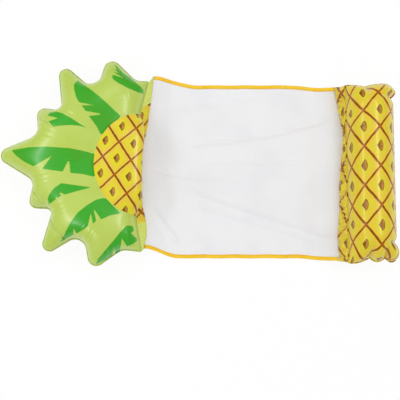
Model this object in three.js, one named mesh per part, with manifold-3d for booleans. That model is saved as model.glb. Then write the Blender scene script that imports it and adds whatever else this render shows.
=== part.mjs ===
// Floating air lounger: an inflated head cushion shaped as a leafy crown, an inflated foot bolster,
// and a sheet of net between them. Millimetres, +Z up, head towards -X, standing on z = 0.
import * as THREE from 'three';
import { mergeVertices } from 'three/addons/utils/BufferGeometryUtils.js';
import Module from 'manifold-3d';

const wasm = await Module();
wasm.setup();

// Sheet goods and clearances
const filmThickness = 0.4;
const weldWidth = 4;
const fit = 0.3;
const overrun = 2;
const mergeDistance = 0.001;

// Head cushion: its own frame has x towards the net and y across, with the middle of its net side at 0, 0
const headLength = 482;
const headHalfWidth = 338;
const headSeamHeight = 52;
const headRise = 112;
const headDepth = 74;
const headYaw = THREE.MathUtils.degToRad(4.2);
const leafTipRadius = 23.4;
const seamInset = 8;
const seamSag = 36;
const seamSkew = 0.04;
const padRadius = 174;
const padCentre = -8;
const padOverhang = 54;
const fanCentre = 46;
const grooveShare = 0.16;
const grooveWidth = 26;
const cornerHalfWidth = 282;
const leafTipSteps = 3;
const leafValleySteps = 2;
const crownRows = 4;
const padRows = 2;
const relaxationRounds = 1000;
const tieHeightMargin = 20;
const tieSpanShare = 0.7;
const tieSteps = 10;

// Sharp corners of half the crown, from its tip to its last valley, before they are rounded:
// share of the head length, share of the half width, share of the leaf tip radius
const crownCornerShares = [
  [1.056, 0, 1],
  [0.757, 0.223, 1.55],
  [0.785, 0.489, 0.92],
  [0.607, 0.48, 0.85],
  [0.688, 0.984, 0.9],
  [0.389, 0.679, 1.75],
  [0.321, 1.059, 1.08],
  [0.125, 0.827, 2.1],
];

// Foot bolster
const footLength = 578;
const footHalfWidth = 76;
const footSeamHeight = 72;
const footRise = 82;
const footDepth = 77;
const footEndTaper = 72;
const footFlare = 15;
const footFlareLength = 70;
const footLobes = 4;
const footLobeDepth = 9;
const footLobeStartShare = 0.8;
const footPuckerShare = 0.35;
const footY = -27;
const footRows = 12;
const footColumns = 16;

// Joining flaps, from each seam down to the sewing line
const stitchGap = 0.9;
const headFlapWidth = 27;
const headFlapDrift = 18;
const headStitchHeight = 30;
const headFlapRows = 4;
const footStitchX = 635;
const footStitchHeight = 30;
const footFlapWidth = 26;
const footX = footStitchX + footFlapWidth + footHalfWidth;
const footFlapHalfLength = 293;
const footFlapDrift = 5;
const footFlapRows = 4;
const footCrumple = 3;
const footCrumpleLength = 62;
const headFlapColumns = 24;
const footFlapColumns = 36;

// Net and its bindings
const netThickness = 0.8;
const netHalfWidth = 294;
const netY = -9.5;
const netHeadInset = 2;
const netFootDraw = 14.5;
const netFootSpread = 9.5;
const netFootHigh = netY + netHalfWidth - netFootDraw;
const netFootLow = netY - netHalfWidth - netFootSpread;
const netRelaxLength = 80;
const netClimbLength = 120;
const netFoldX = 325;
const netFoldGap = 0.42;
const netRows = 10;
const netColumns = 16;
const netFoldFadeLength = 40;
const netEdgeFadeStart = 30;
const netEdgeFadeLength = 60;
const ridgeHeight = 5;
const ridgeWidth = 15;
const bindingWidth = 12;
const tapeThickness = 0.5;
const bindingEndGap = 1.6;
const threadEndGap = 2.2;
const threadWidth = 0.8;
const threadThickness = 0.3;
const threadInset = 3;
const threadClearance = 0.8;

// Main folds of the net: start and end, as shares of its length from the head and of its width
const ridgeShares = [
  [0.2, 0.66, 0.96, 0.8],
  [0.02, 0.53, 0.45, 0.47],
  [0.2, 0.42, 0.96, 0.14],
];

// Valves: each hangs in a dimple of the bottom film, mouth down
const stemRadius = 6.5;
const boreRadius = 4;
const stemDrop = 10;
const stemReach = 12;
const collarWall = 1.2;
const collarReach = 8;
const valveFlangeRadius = 15;
const valveFlangeThickness = 1.2;
const dimpleHeight = 24;
const dimpleTopRadius = 18;
const dimpleMouthRadius = 34;
const lugReach = 12;
const lugWidth = 6;
const lugThickness = 1.5;
const capRadius = 6.3;
const capThickness = 1.6;
const noseBaseRadius = 3.5;
const noseTipRadius = 2.6;
const noseLength = 3.6;
const pivotReach = 9.5;
const strapWidth = 4;
const checkFlapRadius = 5.8;
const checkFlapThickness = 0.8;
const turnSteps = 18;
const searchSteps = 40;
const headValve = new THREE.Vector2(-255, -40);
const footValve = new THREE.Vector2(0, 140);

const halfTurn = Math.PI;
const quarterTurn = Math.PI / 2;

// Finishes
const printedGreen = finish(0xb5d26c, 0.28);
const printedYellow = finish(0xebcb47, 0.28);
const plainFilm = finish(0xe9dd6a, 0.3);
const clearFilm = finish(0xdfe6e0, 0.3);
const netWhite = finish(0xeeeef0, 0.85);
const bindingYellow = finish(0xedc244, 0.7);
const threadYellow = finish(0xe3a92c, 0.8);
const valveClear = finish(0xd9e2e4, 0.35);

function finish(color, roughness) {
  return new THREE.MeshStandardMaterial({ color, roughness, metalness: 0 });
}

function lerp(from, to, share) {
  return from + (to - from) * share;
}

// A closed solid from vertex triples and triangles
function solidOf(points, triangles) {
  const vertProperties = new Float32Array(points.flat());
  const triVerts = new Uint32Array(triangles.flat());
  return new wasm.Manifold(new wasm.Mesh({ numProp: 3, vertProperties, triVerts }));
}

// A closed solid from a three.js geometry, whose shared vertices are merged first
function solidOfGeometry(geometry) {
  geometry.deleteAttribute('normal');
  geometry.deleteAttribute('uv');
  const merged = mergeVertices(geometry, mergeDistance);
  const points = [];
  const at = merged.getAttribute('position');
  for (let i = 0; i < at.count; i++) {
    points.push([at.getX(i), at.getY(i), at.getZ(i)]);
  }
  const triangles = [];
  const index = merged.getIndex().array;
  for (let i = 0; i < index.length; i += 3) {
    const [a, b, c] = index.slice(i, i + 3);
    if (a !== b && b !== c && c !== a) triangles.push([a, b, c]);
  }
  return solidOf(points, facingOut(points, triangles));
}

// The triangles, turned round if they enclose a negative volume
function facingOut(points, triangles) {
  let volume = 0;
  const [a, b, c] = [new THREE.Vector3(), new THREE.Vector3(), new THREE.Vector3()];
  for (const [i, j, k] of triangles) {
    a.fromArray(points[i]);
    b.fromArray(points[j]);
    c.fromArray(points[k]);
    volume += a.dot(b.cross(c));
  }
  return volume > 0 ? triangles : reversed(triangles);
}

function reversed(triangles) {
  return triangles.map(([a, b, c]) => [a, c, b]);
}

function geometryOf(solid) {
  const mesh = solid.getMesh();
  const geometry = new THREE.BufferGeometry();
  geometry.setAttribute('position', new THREE.BufferAttribute(new Float32Array(mesh.vertProperties), 3));
  geometry.setIndex(new THREE.BufferAttribute(new Uint32Array(mesh.triVerts), 1));
  geometry.computeVertexNormals();
  return geometry;
}

function addPiece(group, name, solid, material) {
  const mesh = new THREE.Mesh(geometryOf(solid), material);
  mesh.name = name;
  group.add(mesh);
}

// The direction that a surface faces at each of its points
function normalsOf(points, triangles) {
  const normals = points.map(() => new THREE.Vector3());
  const [a, b, c] = [new THREE.Vector3(), new THREE.Vector3(), new THREE.Vector3()];
  for (const corners of triangles) {
    a.fromArray(points[corners[0]]);
    b.fromArray(points[corners[1]]);
    c.fromArray(points[corners[2]]);
    const face = b.sub(a).cross(c.sub(a));
    corners.forEach((corner) => normals[corner].add(face));
  }
  return normals.map((normal) => normal.normalize());
}

function moved(points, normals, distance) {
  return points.map((point, i) => normals[i].toArray().map((n, axis) => point[axis] + n * distance));
}

// The body between a surface and its own plan, laid flat at a base height
function bodyOver(points, plan, triangles, loop, baseHeight) {
  const count = points.length;
  const base = plan.map(([x, y]) => [x, y, baseHeight]);
  const faces = [...triangles];
  for (const triangle of reversed(triangles)) faces.push(triangle.map((corner) => corner + count));
  loop.forEach((from, i) => {
    const to = loop[(i + 1) % loop.length];
    faces.push([to, from, from + count], [to, from + count, to + count]);
  });
  return solidOf([...points, ...base], faces);
}

// How high an even air pressure lifts a skin over a flat outline: u solves lap(u) = -1 with u = 0 on the
// outline, relaxed on the plan's own triangles, and the height is the root of 2 u
function membraneHeights(plan, triangles, loop) {
  const links = plan.map(() => new Map());
  const areas = plan.map(() => 0);
  for (const triangle of triangles) {
    for (let i = 0; i < 3; i++) {
      const [a, b, c] = [triangle[i], triangle[(i + 1) % 3], triangle[(i + 2) % 3]];
      const [ux, uy] = [plan[b][0] - plan[a][0], plan[b][1] - plan[a][1]];
      const [vx, vy] = [plan[c][0] - plan[a][0], plan[c][1] - plan[a][1]];
      const twiceArea = Math.abs(ux * vy - uy * vx);
      const weight = (ux * vx + uy * vy) / twiceArea / 2;
      links[b].set(c, (links[b].get(c) ?? 0) + weight);
      links[c].set(b, (links[c].get(b) ?? 0) + weight);
      areas[a] += twiceArea / 6;
    }
  }
  const fixed = new Set(loop);
  const lift = plan.map(() => 0);
  for (let round = 0; round < relaxationRounds; round++) {
    for (let i = 0; i < plan.length; i++) {
      if (fixed.has(i)) continue;
      let pull = areas[i];
      let total = 0;
      for (const [other, weight] of links[i]) {
        pull += weight * lift[other];
        total += weight;
      }
      lift[i] = pull / total;
    }
  }
  return lift.map((u) => Math.sqrt(2 * Math.max(u, 0)));
}

// A height that follows the membrane when small and levels off towards a limit
function levelled(height, limit) {
  return height / Math.hypot(1, height / limit);
}

// The outline's points moved outwards for the flat weld, and the triangles that join them on
function withWeld(plan, triangles, loop) {
  const wide = [...plan];
  const rim = loop.map((corner, i) => {
    const before = plan[loop[(i + loop.length - 1) % loop.length]];
    const here = plan[corner];
    const after = plan[loop[(i + 1) % loop.length]];
    const inward = new THREE.Vector2(here[0] - before[0], here[1] - before[1]).normalize();
    inward.add(new THREE.Vector2(after[0] - here[0], after[1] - here[1]).normalize()).normalize();
    wide.push([here[0] + inward.y * weldWidth, here[1] - inward.x * weldWidth]);
    return wide.length - 1;
  });
  const faces = [...triangles];
  loop.forEach((from, i) => {
    const next = (i + 1) % loop.length;
    faces.push([from, rim[i], rim[next]], [from, rim[next], loop[next]]);
  });
  return { plan: wide, triangles: faces, loop: rim };
}

// One film of a cushion: the body under its outer face less the air under its inner face.
// side is 1 for the top film and -1 for the bottom one; shape gives x, y and height off the seam.
function filmBodies(chamber, side, seamHeight, shape, floor) {
  const faces = side > 0 ? chamber.triangles : reversed(chamber.triangles);
  const loop = side > 0 ? chamber.loop : [...chamber.loop].reverse();
  const inner = chamber.plan.map((_, i) => {
    const [x, y, height] = shape(i);
    return [x, y, seamHeight + side * height];
  });
  if (floor) inner.forEach((point) => (point[2] = Math.max(point[2], filmThickness)));
  const welded = withWeld(chamber.plan, chamber.triangles, chamber.loop);
  const weldFaces = side > 0 ? welded.triangles : reversed(welded.triangles);
  const weldLoop = side > 0 ? welded.loop : [...welded.loop].reverse();
  const wide = [...inner];
  for (const [x, y] of welded.plan.slice(chamber.plan.length)) wide.push([x, y, seamHeight]);
  const normals = normalsOf(wide, weldFaces);
  for (let i = inner.length; i < wide.length; i++) normals[i].set(0, 0, side);
  const outer = moved(wide, normals, filmThickness);
  if (floor) {
    wide.forEach((point, i) => {
      if (point[2] === filmThickness) outer[i][2] = 0;
    });
  }
  const air = moved(inner, normalsOf(inner, faces), -fit);
  for (const corner of loop) air[corner] = inner[corner];
  return {
    outer: bodyOver(outer, welded.plan, weldFaces, weldLoop, seamHeight),
    inner: bodyOver(inner, chamber.plan, faces, loop, seamHeight - side * overrun),
    air: bodyOver(air, chamber.plan, faces, loop, seamHeight - side * overrun),
  };
}

// A turned body from its half section of radius and height
function turned(section) {
  const points = section.map(([radius, height]) => new THREE.Vector2(radius, height));
  return solidOfGeometry(new THREE.LatheGeometry(points, turnSteps).rotateX(quarterTurn));
}

function turnedRing(innerRadius, outerRadius, low, high) {
  return turned([[innerRadius, low], [outerRadius, low], [outerRadius, high], [innerRadius, high],
    [innerRadius, low]]);
}

function turnedBar(radius, low, high) {
  return turned([[0, low], [radius, low], [radius, high], [0, high]]);
}

function block(width, depth, height, x, y, z) {
  return solidOfGeometry(new THREE.BoxGeometry(width, depth, height).translate(x, y, z));
}

// A thin sheet whose upper face is a function of two shares, moved off it by a lift along its normals
function sheet(surface, rows, columns, thickness, lift = 0) {
  const points = [];
  const triangles = [];
  const corner = (i, j) => i * (columns + 1) + j;
  for (let i = 0; i <= rows; i++) {
    for (let j = 0; j <= columns; j++) points.push(surface(i / rows, j / columns));
  }
  for (let i = 0; i < rows; i++) {
    for (let j = 0; j < columns; j++) {
      triangles.push([corner(i, j), corner(i + 1, j), corner(i + 1, j + 1)]);
      triangles.push([corner(i, j), corner(i + 1, j + 1), corner(i, j + 1)]);
    }
  }
  const loop = [];
  for (let i = 0; i < rows; i++) loop.push(corner(i, 0));
  for (let j = 0; j < columns; j++) loop.push(corner(rows, j));
  for (let i = rows; i > 0; i--) loop.push(corner(i, columns));
  for (let j = columns; j > 0; j--) loop.push(corner(0, j));
  const normals = normalsOf(points, triangles);
  const upwards = normals.reduce((sum, normal) => sum + normal.z, 0) > 0 ? 1 : -1;
  const upper = moved(points, normals, upwards * lift);
  const under = moved(points, normals, upwards * (lift - thickness));
  const count = points.length;
  const faces = [...triangles];
  for (const triangle of reversed(triangles)) faces.push(triangle.map((at) => at + count));
  loop.forEach((from, i) => {
    const to = loop[(i + 1) % loop.length];
    faces.push([to, from, from + count], [to, from + count, to + count]);
  });
  const all = [...upper, ...under];
  return solidOf(all, facingOut(all, faces));
}

// A bar of constant section along stations, each with a place, an outward and an upward direction
function sweptSection(section, stations) {
  const points = [];
  for (const { place, out } of stations) {
    for (const [outward, up] of section) {
      const [x, y, z] = place.map((at, axis) => at + out[axis] * outward);
      points.push([x, y, z + up]);
    }
  }
  const n = section.length;
  const faces = [];
  for (let i = 0; i + 1 < stations.length; i++) {
    for (let j = 0; j < n; j++) {
      const [a, b] = [i * n + j, i * n + ((j + 1) % n)];
      faces.push([a, b, b + n], [a, b + n, a + n]);
    }
  }
  const contour = section.map(([outward, up]) => new THREE.Vector2(outward, up));
  const last = (stations.length - 1) * n;
  for (const cap of THREE.ShapeUtils.triangulateShape(contour, [])) {
    faces.push([cap[0], cap[2], cap[1]], cap.map((at) => at + last));
  }
  return solidOf(points, facingOut(points, faces));
}

// The crown's outline in the head frame, from its low corner round the leaves to its high corner
function crownOutline() {
  const half = crownCornerShares.map(([along, across, radiusShare], i) => ({
    at: new THREE.Vector2(-along * headLength, across * headHalfWidth),
    radius: radiusShare * leafTipRadius,
    steps: i % 2 === 0 ? leafTipSteps : leafValleySteps,
  }));
  const mirrored = half.slice(1).map((corner) => {
    return { ...corner, at: new THREE.Vector2(corner.at.x, -corner.at.y) };
  });
  const corners = [...mirrored.reverse(), ...half];
  const low = new THREE.Vector2(seamX(-cornerHalfWidth), -cornerHalfWidth);
  const high = new THREE.Vector2(seamX(cornerHalfWidth), cornerHalfWidth);
  const outline = [low];
  corners.forEach((corner, i) => {
    const before = i > 0 ? corners[i - 1].at : low;
    const after = i + 1 < corners.length ? corners[i + 1].at : high;
    outline.push(...roundedCorner(before, corner, after));
  });
  outline.push(high);
  return outline;
}

// Points on the arc that touches both sides of a corner
function roundedCorner(before, { at, radius, steps }, after) {
  const toBefore = before.clone().sub(at).normalize();
  const toAfter = after.clone().sub(at).normalize();
  const halfAngle = toBefore.angleTo(toAfter) / 2;
  const bisector = toBefore.clone().add(toAfter).normalize();
  const centre = at.clone().addScaledVector(bisector, radius / Math.sin(halfAngle));
  const tangent = radius / Math.tan(halfAngle);
  const start = at.clone().addScaledVector(toBefore, tangent).sub(centre).angle();
  const end = at.clone().addScaledVector(toAfter, tangent).sub(centre).angle();
  const turn = THREE.MathUtils.euclideanModulo(end - start + halfTurn, 2 * halfTurn) - halfTurn;
  const points = [];
  for (let i = 0; i <= steps; i++) {
    const angle = start + (turn * i) / steps;
    points.push(new THREE.Vector2(Math.cos(angle), Math.sin(angle)).multiplyScalar(radius).add(centre));
  }
  return points;
}

// The seam beside the net, drawn in between its corners by the air pressure
function seamX(y) {
  return -seamInset - seamSkew * y - seamSag * (1 - (y / cornerHalfWidth) ** 2);
}

function padArcPoint(angle) {
  return new THREE.Vector2(-padCentre - padRadius * Math.cos(angle), padRadius * Math.sin(angle));
}

// The angle at which the line between leaves and fruit meets the seam, on one side
function padArcEnd(side) {
  let [inside, outside] = [quarterTurn / 2, halfTurn * 3 / 4];
  for (let i = 0; i < searchSteps; i++) {
    const middle = (inside + outside) / 2;
    const point = padArcPoint(side * middle);
    if (point.x < seamX(point.y)) inside = middle;
    else outside = middle;
  }
  return side * inside;
}

// The head cushion's plan: rows of points from the line between leaves and fruit out to the leaf tips,
// and from that line to the seam beside the net
function headChamber() {
  const outline = crownOutline();
  const last = outline.length - 1;
  const fanAngle = (point) => Math.atan2(point.y, -point.x - fanCentre);
  const [fromAngle, toAngle] = [fanAngle(outline[0]), fanAngle(outline[last])];
  const [arcLow, arcHigh] = [padArcEnd(-1), padArcEnd(1)];
  const plan = [];
  const crown = [];
  for (let j = 0; j <= last; j++) {
    const share = (fanAngle(outline[j]) - fromAngle) / (toAngle - fromAngle);
    const arcPoint = padArcPoint(lerp(arcLow, arcHigh, share));
    const column = [];
    for (let i = 0; i <= crownRows; i++) {
      const reach = Math.sin((quarterTurn * i) / crownRows);
      const point = arcPoint.clone().lerp(outline[j], reach);
      if (j === 0 || j === last) point.x = seamX(point.y);
      column.push(plan.push([point.x, point.y]) - 1);
    }
    crown.push(column);
  }
  const pad = [];
  const padShare = plan.map(() => 0);
  for (let j = 1; j < last; j++) {
    const [x, y] = plan[crown[j][0]];
    const column = [crown[j][0]];
    for (let k = 1; k <= padRows; k++) {
      const reach = Math.sin((quarterTurn * k) / padRows);
      column.push(plan.push([lerp(x, seamX(y), reach), y]) - 1);
      padShare.push(reach);
    }
    pad.push(column);
  }
  const triangles = [];
  for (let j = 0; j < last; j++) {
    for (let i = 0; i < crownRows; i++) {
      const [a, b, c, d] = [crown[j][i], crown[j][i + 1], crown[j + 1][i + 1], crown[j + 1][i]];
      triangles.push([a, c, b], [a, d, c]);
    }
  }
  for (let j = 0; j + 1 < pad.length; j++) {
    for (let k = 0; k < padRows; k++) {
      const [a, b, c, d] = [pad[j][k], pad[j][k + 1], pad[j + 1][k + 1], pad[j + 1][k]];
      triangles.push([a, b, c], [a, c, d]);
    }
  }
  const [lowEnd, highEnd] = [crown[0][0], crown[last][0]];
  for (let k = 0; k < padRows; k++) {
    triangles.push([lowEnd, pad[0][k + 1], pad[0][k]]);
    triangles.push([highEnd, pad[pad.length - 1][k], pad[pad.length - 1][k + 1]]);
  }
  return { plan, triangles, loop: headLoop(crown, pad, last), padShare };
}

// The head's outline as point numbers, counterclockwise seen from above
function headLoop(crown, pad, last) {
  const loop = [];
  for (let j = last; j >= 0; j--) loop.push(crown[j][crownRows]);
  for (let i = crownRows - 1; i >= 0; i--) loop.push(crown[0][i]);
  for (const column of pad) loop.push(column[padRows]);
  for (let i = 0; i < crownRows; i++) loop.push(crown[last][i]);
  return loop;
}

// The height of both films off the seam, drawn together along the tie strip
function headShape(chamber, heights, limit, overhang) {
  const [lowEnd, highEnd] = [-1, 1].map((side) => padArcPoint(padArcEnd(side)).y);
  return (i) => {
    const [x, y] = chamber.plan[i];
    const fromArc = Math.hypot(x + padCentre, y) - padRadius;
    const drawn = 1 - grooveShare * Math.exp(-((fromArc / grooveWidth) ** 2));
    const share = Math.sqrt(1 - chamber.padShare[i]);
    const across = 1 - (y / (y < 0 ? lowEnd : highEnd)) ** 4;
    const out = chamber.padShare[i] > 0 ? overhang * Math.max(across, 0) * Math.sin(halfTurn * share) : 0;
    return [x + out, y, levelled(heights[i], limit) * drawn];
  };
}

// The tie strip stands on the bottom film and reaches the top film along the line between leaves and
// fruit, and stops short of the seam so that air passes round its ends
function tieStrip(topAir, bottomAir) {
  const span = quarterTurn * tieSpanShare;
  const low = -tieHeightMargin;
  const high = headSeamHeight + headRise + tieHeightMargin;
  const wall = new THREE.Shape();
  wall.absarc(0, 0, padRadius + filmThickness / 2, halfTurn - span, halfTurn + span, false);
  wall.absarc(0, 0, padRadius - filmThickness / 2, halfTurn + span, halfTurn - span, true);
  const options = { depth: high - low, bevelEnabled: false, curveSegments: tieSteps };
  const strip = solidOfGeometry(new THREE.ExtrudeGeometry(wall, options).translate(-padCentre, 0, low));
  return strip.intersect(topAir.add(bottomAir));
}

// The dimple that a pushed-in valve makes in the bottom film
function dimple(at, allowance) {
  const slope = (dimpleMouthRadius - dimpleTopRadius) / dimpleHeight;
  const top = dimpleHeight + allowance;
  const mouth = dimpleMouthRadius + slope * overrun + allowance;
  return turned([[0, -overrun], [mouth, -overrun], [dimpleTopRadius + allowance, top], [0, top]])
    .translate([at.x, at.y, 0]);
}

// A bottom film with its dimple and with the hole for the valve's collar
function valveFilm({ outer, inner }, at) {
  const hole = turnedBar(stemRadius + collarWall + 2 * fit, dimpleHeight - overrun, dimpleHeight + overrun)
    .translate([at.x, at.y, 0]);
  const air = inner.subtract(dimple(at, filmThickness));
  return outer.subtract(dimple(at, 0)).subtract(air).subtract(hole);
}

// One valve: base, stem, plug and check flap, as bodies in a frame whose origin is on the film
function valveBodies() {
  const mouth = -stemDrop;
  const flangeTop = -fit;
  const flangeLow = flangeTop - valveFlangeThickness;
  const collarRadius = stemRadius + fit;
  const base = turnedRing(collarRadius, valveFlangeRadius, flangeLow, flangeTop)
    .add(turnedRing(collarRadius, collarRadius + collarWall, flangeLow, collarReach));
  const lugLength = lugReach - boreRadius;
  const lugMiddle = boreRadius + lugLength / 2;
  const lug = block(lugWidth, lugLength, lugThickness, 0, lugMiddle, mouth + lugThickness / 2);
  const bore = turnedBar(boreRadius, mouth - overrun, stemReach + overrun);
  const stem = turnedBar(stemRadius, mouth, stemReach).add(lug).subtract(bore);
  const capTop = mouth - fit;
  const strapLength = pivotReach - fit;
  const plug = turned([[0, capTop - capThickness], [capRadius, capTop - capThickness], [capRadius, capTop],
    [noseBaseRadius, capTop], [noseTipRadius, capTop + noseLength], [0, capTop + noseLength]])
    .add(block(strapWidth, strapLength, capThickness, 0, strapLength / 2, capTop - capThickness / 2));
  const checkFlap = turnedBar(checkFlapRadius, stemReach + fit, stemReach + fit + checkFlapThickness);
  return { base, stem, plug, checkFlap };
}

function addValve(group, at, prefix) {
  const valve = new THREE.Group();
  valve.position.set(at.x, at.y, dimpleHeight);
  const { base, stem, plug, checkFlap } = valveBodies();
  addPiece(valve, `${prefix}_valve_base`, base, valveClear);
  addPiece(valve, `${prefix}_valve_stem`, stem, valveClear);
  addPiece(valve, `${prefix}_valve_plug`, plug, valveClear);
  addPiece(valve, `${prefix}_valve_check_flap`, checkFlap, valveClear);
  group.add(valve);
}

// The sewing line of the head flap, in the head frame
function headStitchPoint(y) {
  return [seamX(y) + headFlapWidth, y + headFlapDrift];
}

// The head flap: flat under the weld, then down and a little aside to the sewing line
function headFlapSurface(along, across) {
  const y = lerp(-cornerHalfWidth, cornerHalfWidth, across);
  const weldShare = 1 / headFlapRows;
  const top = headSeamHeight - filmThickness - fit;
  const start = seamX(y) + weldWidth / headFlapRows;
  const weldEnd = seamX(y) + weldWidth;
  if (along <= weldShare) return [lerp(start, weldEnd, along / weldShare), y, top];
  const share = (along - weldShare) / (1 - weldShare);
  const [stitchX, stitchY] = headStitchPoint(y);
  const x = lerp(weldEnd, stitchX - stitchGap / 2, share);
  return [x, lerp(y, stitchY, share), lerp(top, headStitchHeight, share)];
}

// The foot bolster's plan: rows along its length, columns across it from the outer to the inner seam
function footChamber() {
  const plan = [];
  const marks = [];
  const corner = (i, k) => i * (footColumns + 1) + k;
  for (let i = 0; i <= footRows; i++) {
    const reach = Math.sin(quarterTurn * ((2 * i) / footRows - 1));
    for (let k = 0; k <= footColumns; k++) {
      const turn = (halfTurn * k) / footColumns;
      const flat = (reach * footLength) / 2;
      const flareShare = Math.max((-flat - footLength / 2 + footFlareLength) / footFlareLength, 0);
      const side = Math.cos(turn);
      const outer = footHalfWidth + (side > 0 ? footFlare * flareShare ** 2 : 0);
      const lobe = Math.abs(Math.sin((halfTurn * footLobes * k) / footColumns)) - 1 / 2;
      const endShare = THREE.MathUtils.smoothstep(Math.abs(reach), footLobeStartShare, 1);
      plan.push([outer * side, flat + Math.sign(reach) * footLobeDepth * lobe * endShare]);
      marks.push({ reach, turn, lobe, endShare });
    }
  }
  const triangles = [];
  for (let i = 0; i < footRows; i++) {
    for (let k = 0; k < footColumns; k++) {
      const [a, b, c, d] = [corner(i, k), corner(i + 1, k), corner(i + 1, k + 1), corner(i, k + 1)];
      triangles.push([a, b, c], [a, c, d]);
    }
  }
  const loop = [];
  for (let i = 0; i < footRows; i++) loop.push(corner(i, 0));
  for (let k = 0; k < footColumns; k++) loop.push(corner(footRows, k));
  for (let i = footRows; i > 0; i--) loop.push(corner(i, footColumns));
  for (let k = footColumns; k > 0; k--) loop.push(corner(0, k));
  return { plan, triangles, loop, marks };
}

// The bolster's round section, rounded down over its ends, with puckers between the end lobes
function footShape(chamber, limit) {
  return (i) => {
    const [x, y] = chamber.plan[i];
    const { reach, turn, lobe, endShare } = chamber.marks[i];
    const intoTaper = (Math.abs(reach) * footLength) / 2 - (footLength / 2 - footEndTaper);
    const round = Math.sqrt(Math.max(1 - Math.max(intoTaper / footEndTaper, 0) ** 2, 0));
    const pucker = 1 + footPuckerShare * lobe * endShare;
    return [x, y, limit * Math.sin(turn) * round * pucker];
  };
}

// The foot flap: flat under the weld, then crumpled on its way down and a little aside to the sewing line
function footFlapSurface(along, across) {
  const y = lerp(-footFlapHalfLength, footFlapHalfLength, across);
  const weldShare = 1 / footFlapRows;
  const top = footSeamHeight - filmThickness - fit;
  const start = footX - footHalfWidth - weldWidth / footFlapRows;
  const weldEnd = footX - footHalfWidth - weldWidth;
  if (along <= weldShare) return [lerp(start, weldEnd, along / weldShare), y + footY, top];
  const share = (along - weldShare) / (1 - weldShare);
  const wave = Math.sin((2 * halfTurn * y) / footCrumpleLength) * Math.sin(halfTurn * share);
  const x = lerp(weldEnd, footStitchX + stitchGap / 2, share) - footCrumple * wave;
  return [x, y + footY + footFlapDrift * share, lerp(top, footStitchHeight, share)];
}

// The sewing thread on a flap, a flat row beside the flap's free edge that starts and ends short of it
function sewingThread(surface, rows, columns) {
  const besideEdge = (along, share) => {
    const across = lerp(1 / columns, 1 - 1 / columns, share);
    const edge = new THREE.Vector3(...surface(1, across));
    const inside = new THREE.Vector3(...surface(1 - 1 / rows, across));
    const reach = threadInset + threadWidth * along;
    return edge.add(inside.sub(edge).setLength(reach)).toArray();
  };
  return sheet(besideEdge, 1, columns - 2, threadThickness, threadClearance + threadThickness);
}

// From the head frame to the lounger's frame
function headToLounger([x, y]) {
  const [c, s] = [Math.cos(headYaw), Math.sin(headYaw)];
  return [c * x + s * y, c * y - s * x];
}

// Where the net's threads run: from the head's sewing line to the foot's, at a share of its width
function netPoint(along, across, lift) {
  const low = -cornerHalfWidth + netHeadInset;
  const [x0, y0] = headToLounger(headStitchPoint(lerp(low, cornerHalfWidth, across)));
  const x = along(x0);
  const far = lerp(netY - netHalfWidth, netY + netHalfWidth, across);
  const end = lerp(netFootLow, netFootHigh, across);
  const fromHead = Math.max(x - x0, 0);
  const fromFoot = Math.max(footStitchX - x, 0);
  const y = far + (y0 - far) * Math.exp(-fromHead / netRelaxLength)
    + (end - far) * Math.exp(-fromFoot / netRelaxLength);
  const bottom = tapeThickness + fit + netThickness;
  const rise = (headStitchHeight - bottom) * climb(fromHead) + (footStitchHeight - bottom) * climb(fromFoot);
  return [x, y, bottom + rise + lift(x, y)];
}

function climb(distance) {
  const share = Math.min(distance / netClimbLength, 1);
  return (1 + Math.cos(halfTurn * share)) / 2;
}

// The net's main folds, low ridges that fade out at its edges and at its middle fold
function netRidges(x, y) {
  let height = 0;
  for (const [fromAlong, fromAcross, toAlong, toAcross] of ridgeShares) {
    const start = new THREE.Vector3(fromAlong * footStitchX, netY + (fromAcross * 2 - 1) * netHalfWidth, 0);
    const end = new THREE.Vector3(toAlong * footStitchX, netY + (toAcross * 2 - 1) * netHalfWidth, 0);
    const line = new THREE.Line3(start, end);
    const here = new THREE.Vector3(x, y, 0);
    const distance = line.closestPointToPoint(here, true, new THREE.Vector3()).distanceTo(here);
    height = Math.max(height, ridgeHeight * Math.exp(-((distance / ridgeWidth) ** 2)));
  }
  const fromEdge = netHalfWidth - Math.abs(y - netY);
  const fade = (distance, length) => Math.min(Math.max(distance / length, 0), 1);
  const fromEnds = fade(x - netEdgeFadeLength / 2, netEdgeFadeLength)
    * fade(footStitchX - x - netEdgeFadeLength / 2, netEdgeFadeLength);
  return height * fromEnds * fade(fromEdge - netEdgeFadeStart, netEdgeFadeLength)
    * fade(Math.abs(x - netFoldX) - netFoldGap, netFoldFadeLength);
}

// Each half of the net, from its sewing line to the fold
function netHeadSurface(along, across) {
  return netPoint((x0) => lerp(x0 + stitchGap / 2, netFoldX - netFoldGap, along), across, netRidges);
}

function netFootSurface(along, across) {
  return netPoint(() => lerp(netFoldX + netFoldGap, footStitchX - stitchGap / 2, along), across, netRidges);
}

// Stations along one edge of one half of the net, at its own rows, with the ends drawn back
function edgeStations(side, surface, endGap) {
  const across = side > 0 ? 1 : 0;
  const stations = [];
  for (let i = 0; i <= netRows; i++) {
    const edge = new THREE.Vector3(...surface(i / netRows, across));
    const inside = new THREE.Vector3(...surface(i / netRows, across - side / netColumns));
    const out = edge.clone().sub(inside).divideScalar(Math.hypot(edge.x - inside.x, edge.y - inside.y));
    stations.push({ place: edge.toArray(), out: out.toArray() });
  }
  drawBack(stations[0], stations[1], endGap);
  drawBack(stations[netRows], stations[netRows - 1], endGap);
  return stations;
}

function drawBack(end, next, endGap) {
  const share = endGap / Math.hypot(next.place[0] - end.place[0], next.place[1] - end.place[1]);
  end.place = end.place.map((at, axis) => lerp(at, next.place[axis], share));
}

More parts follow.
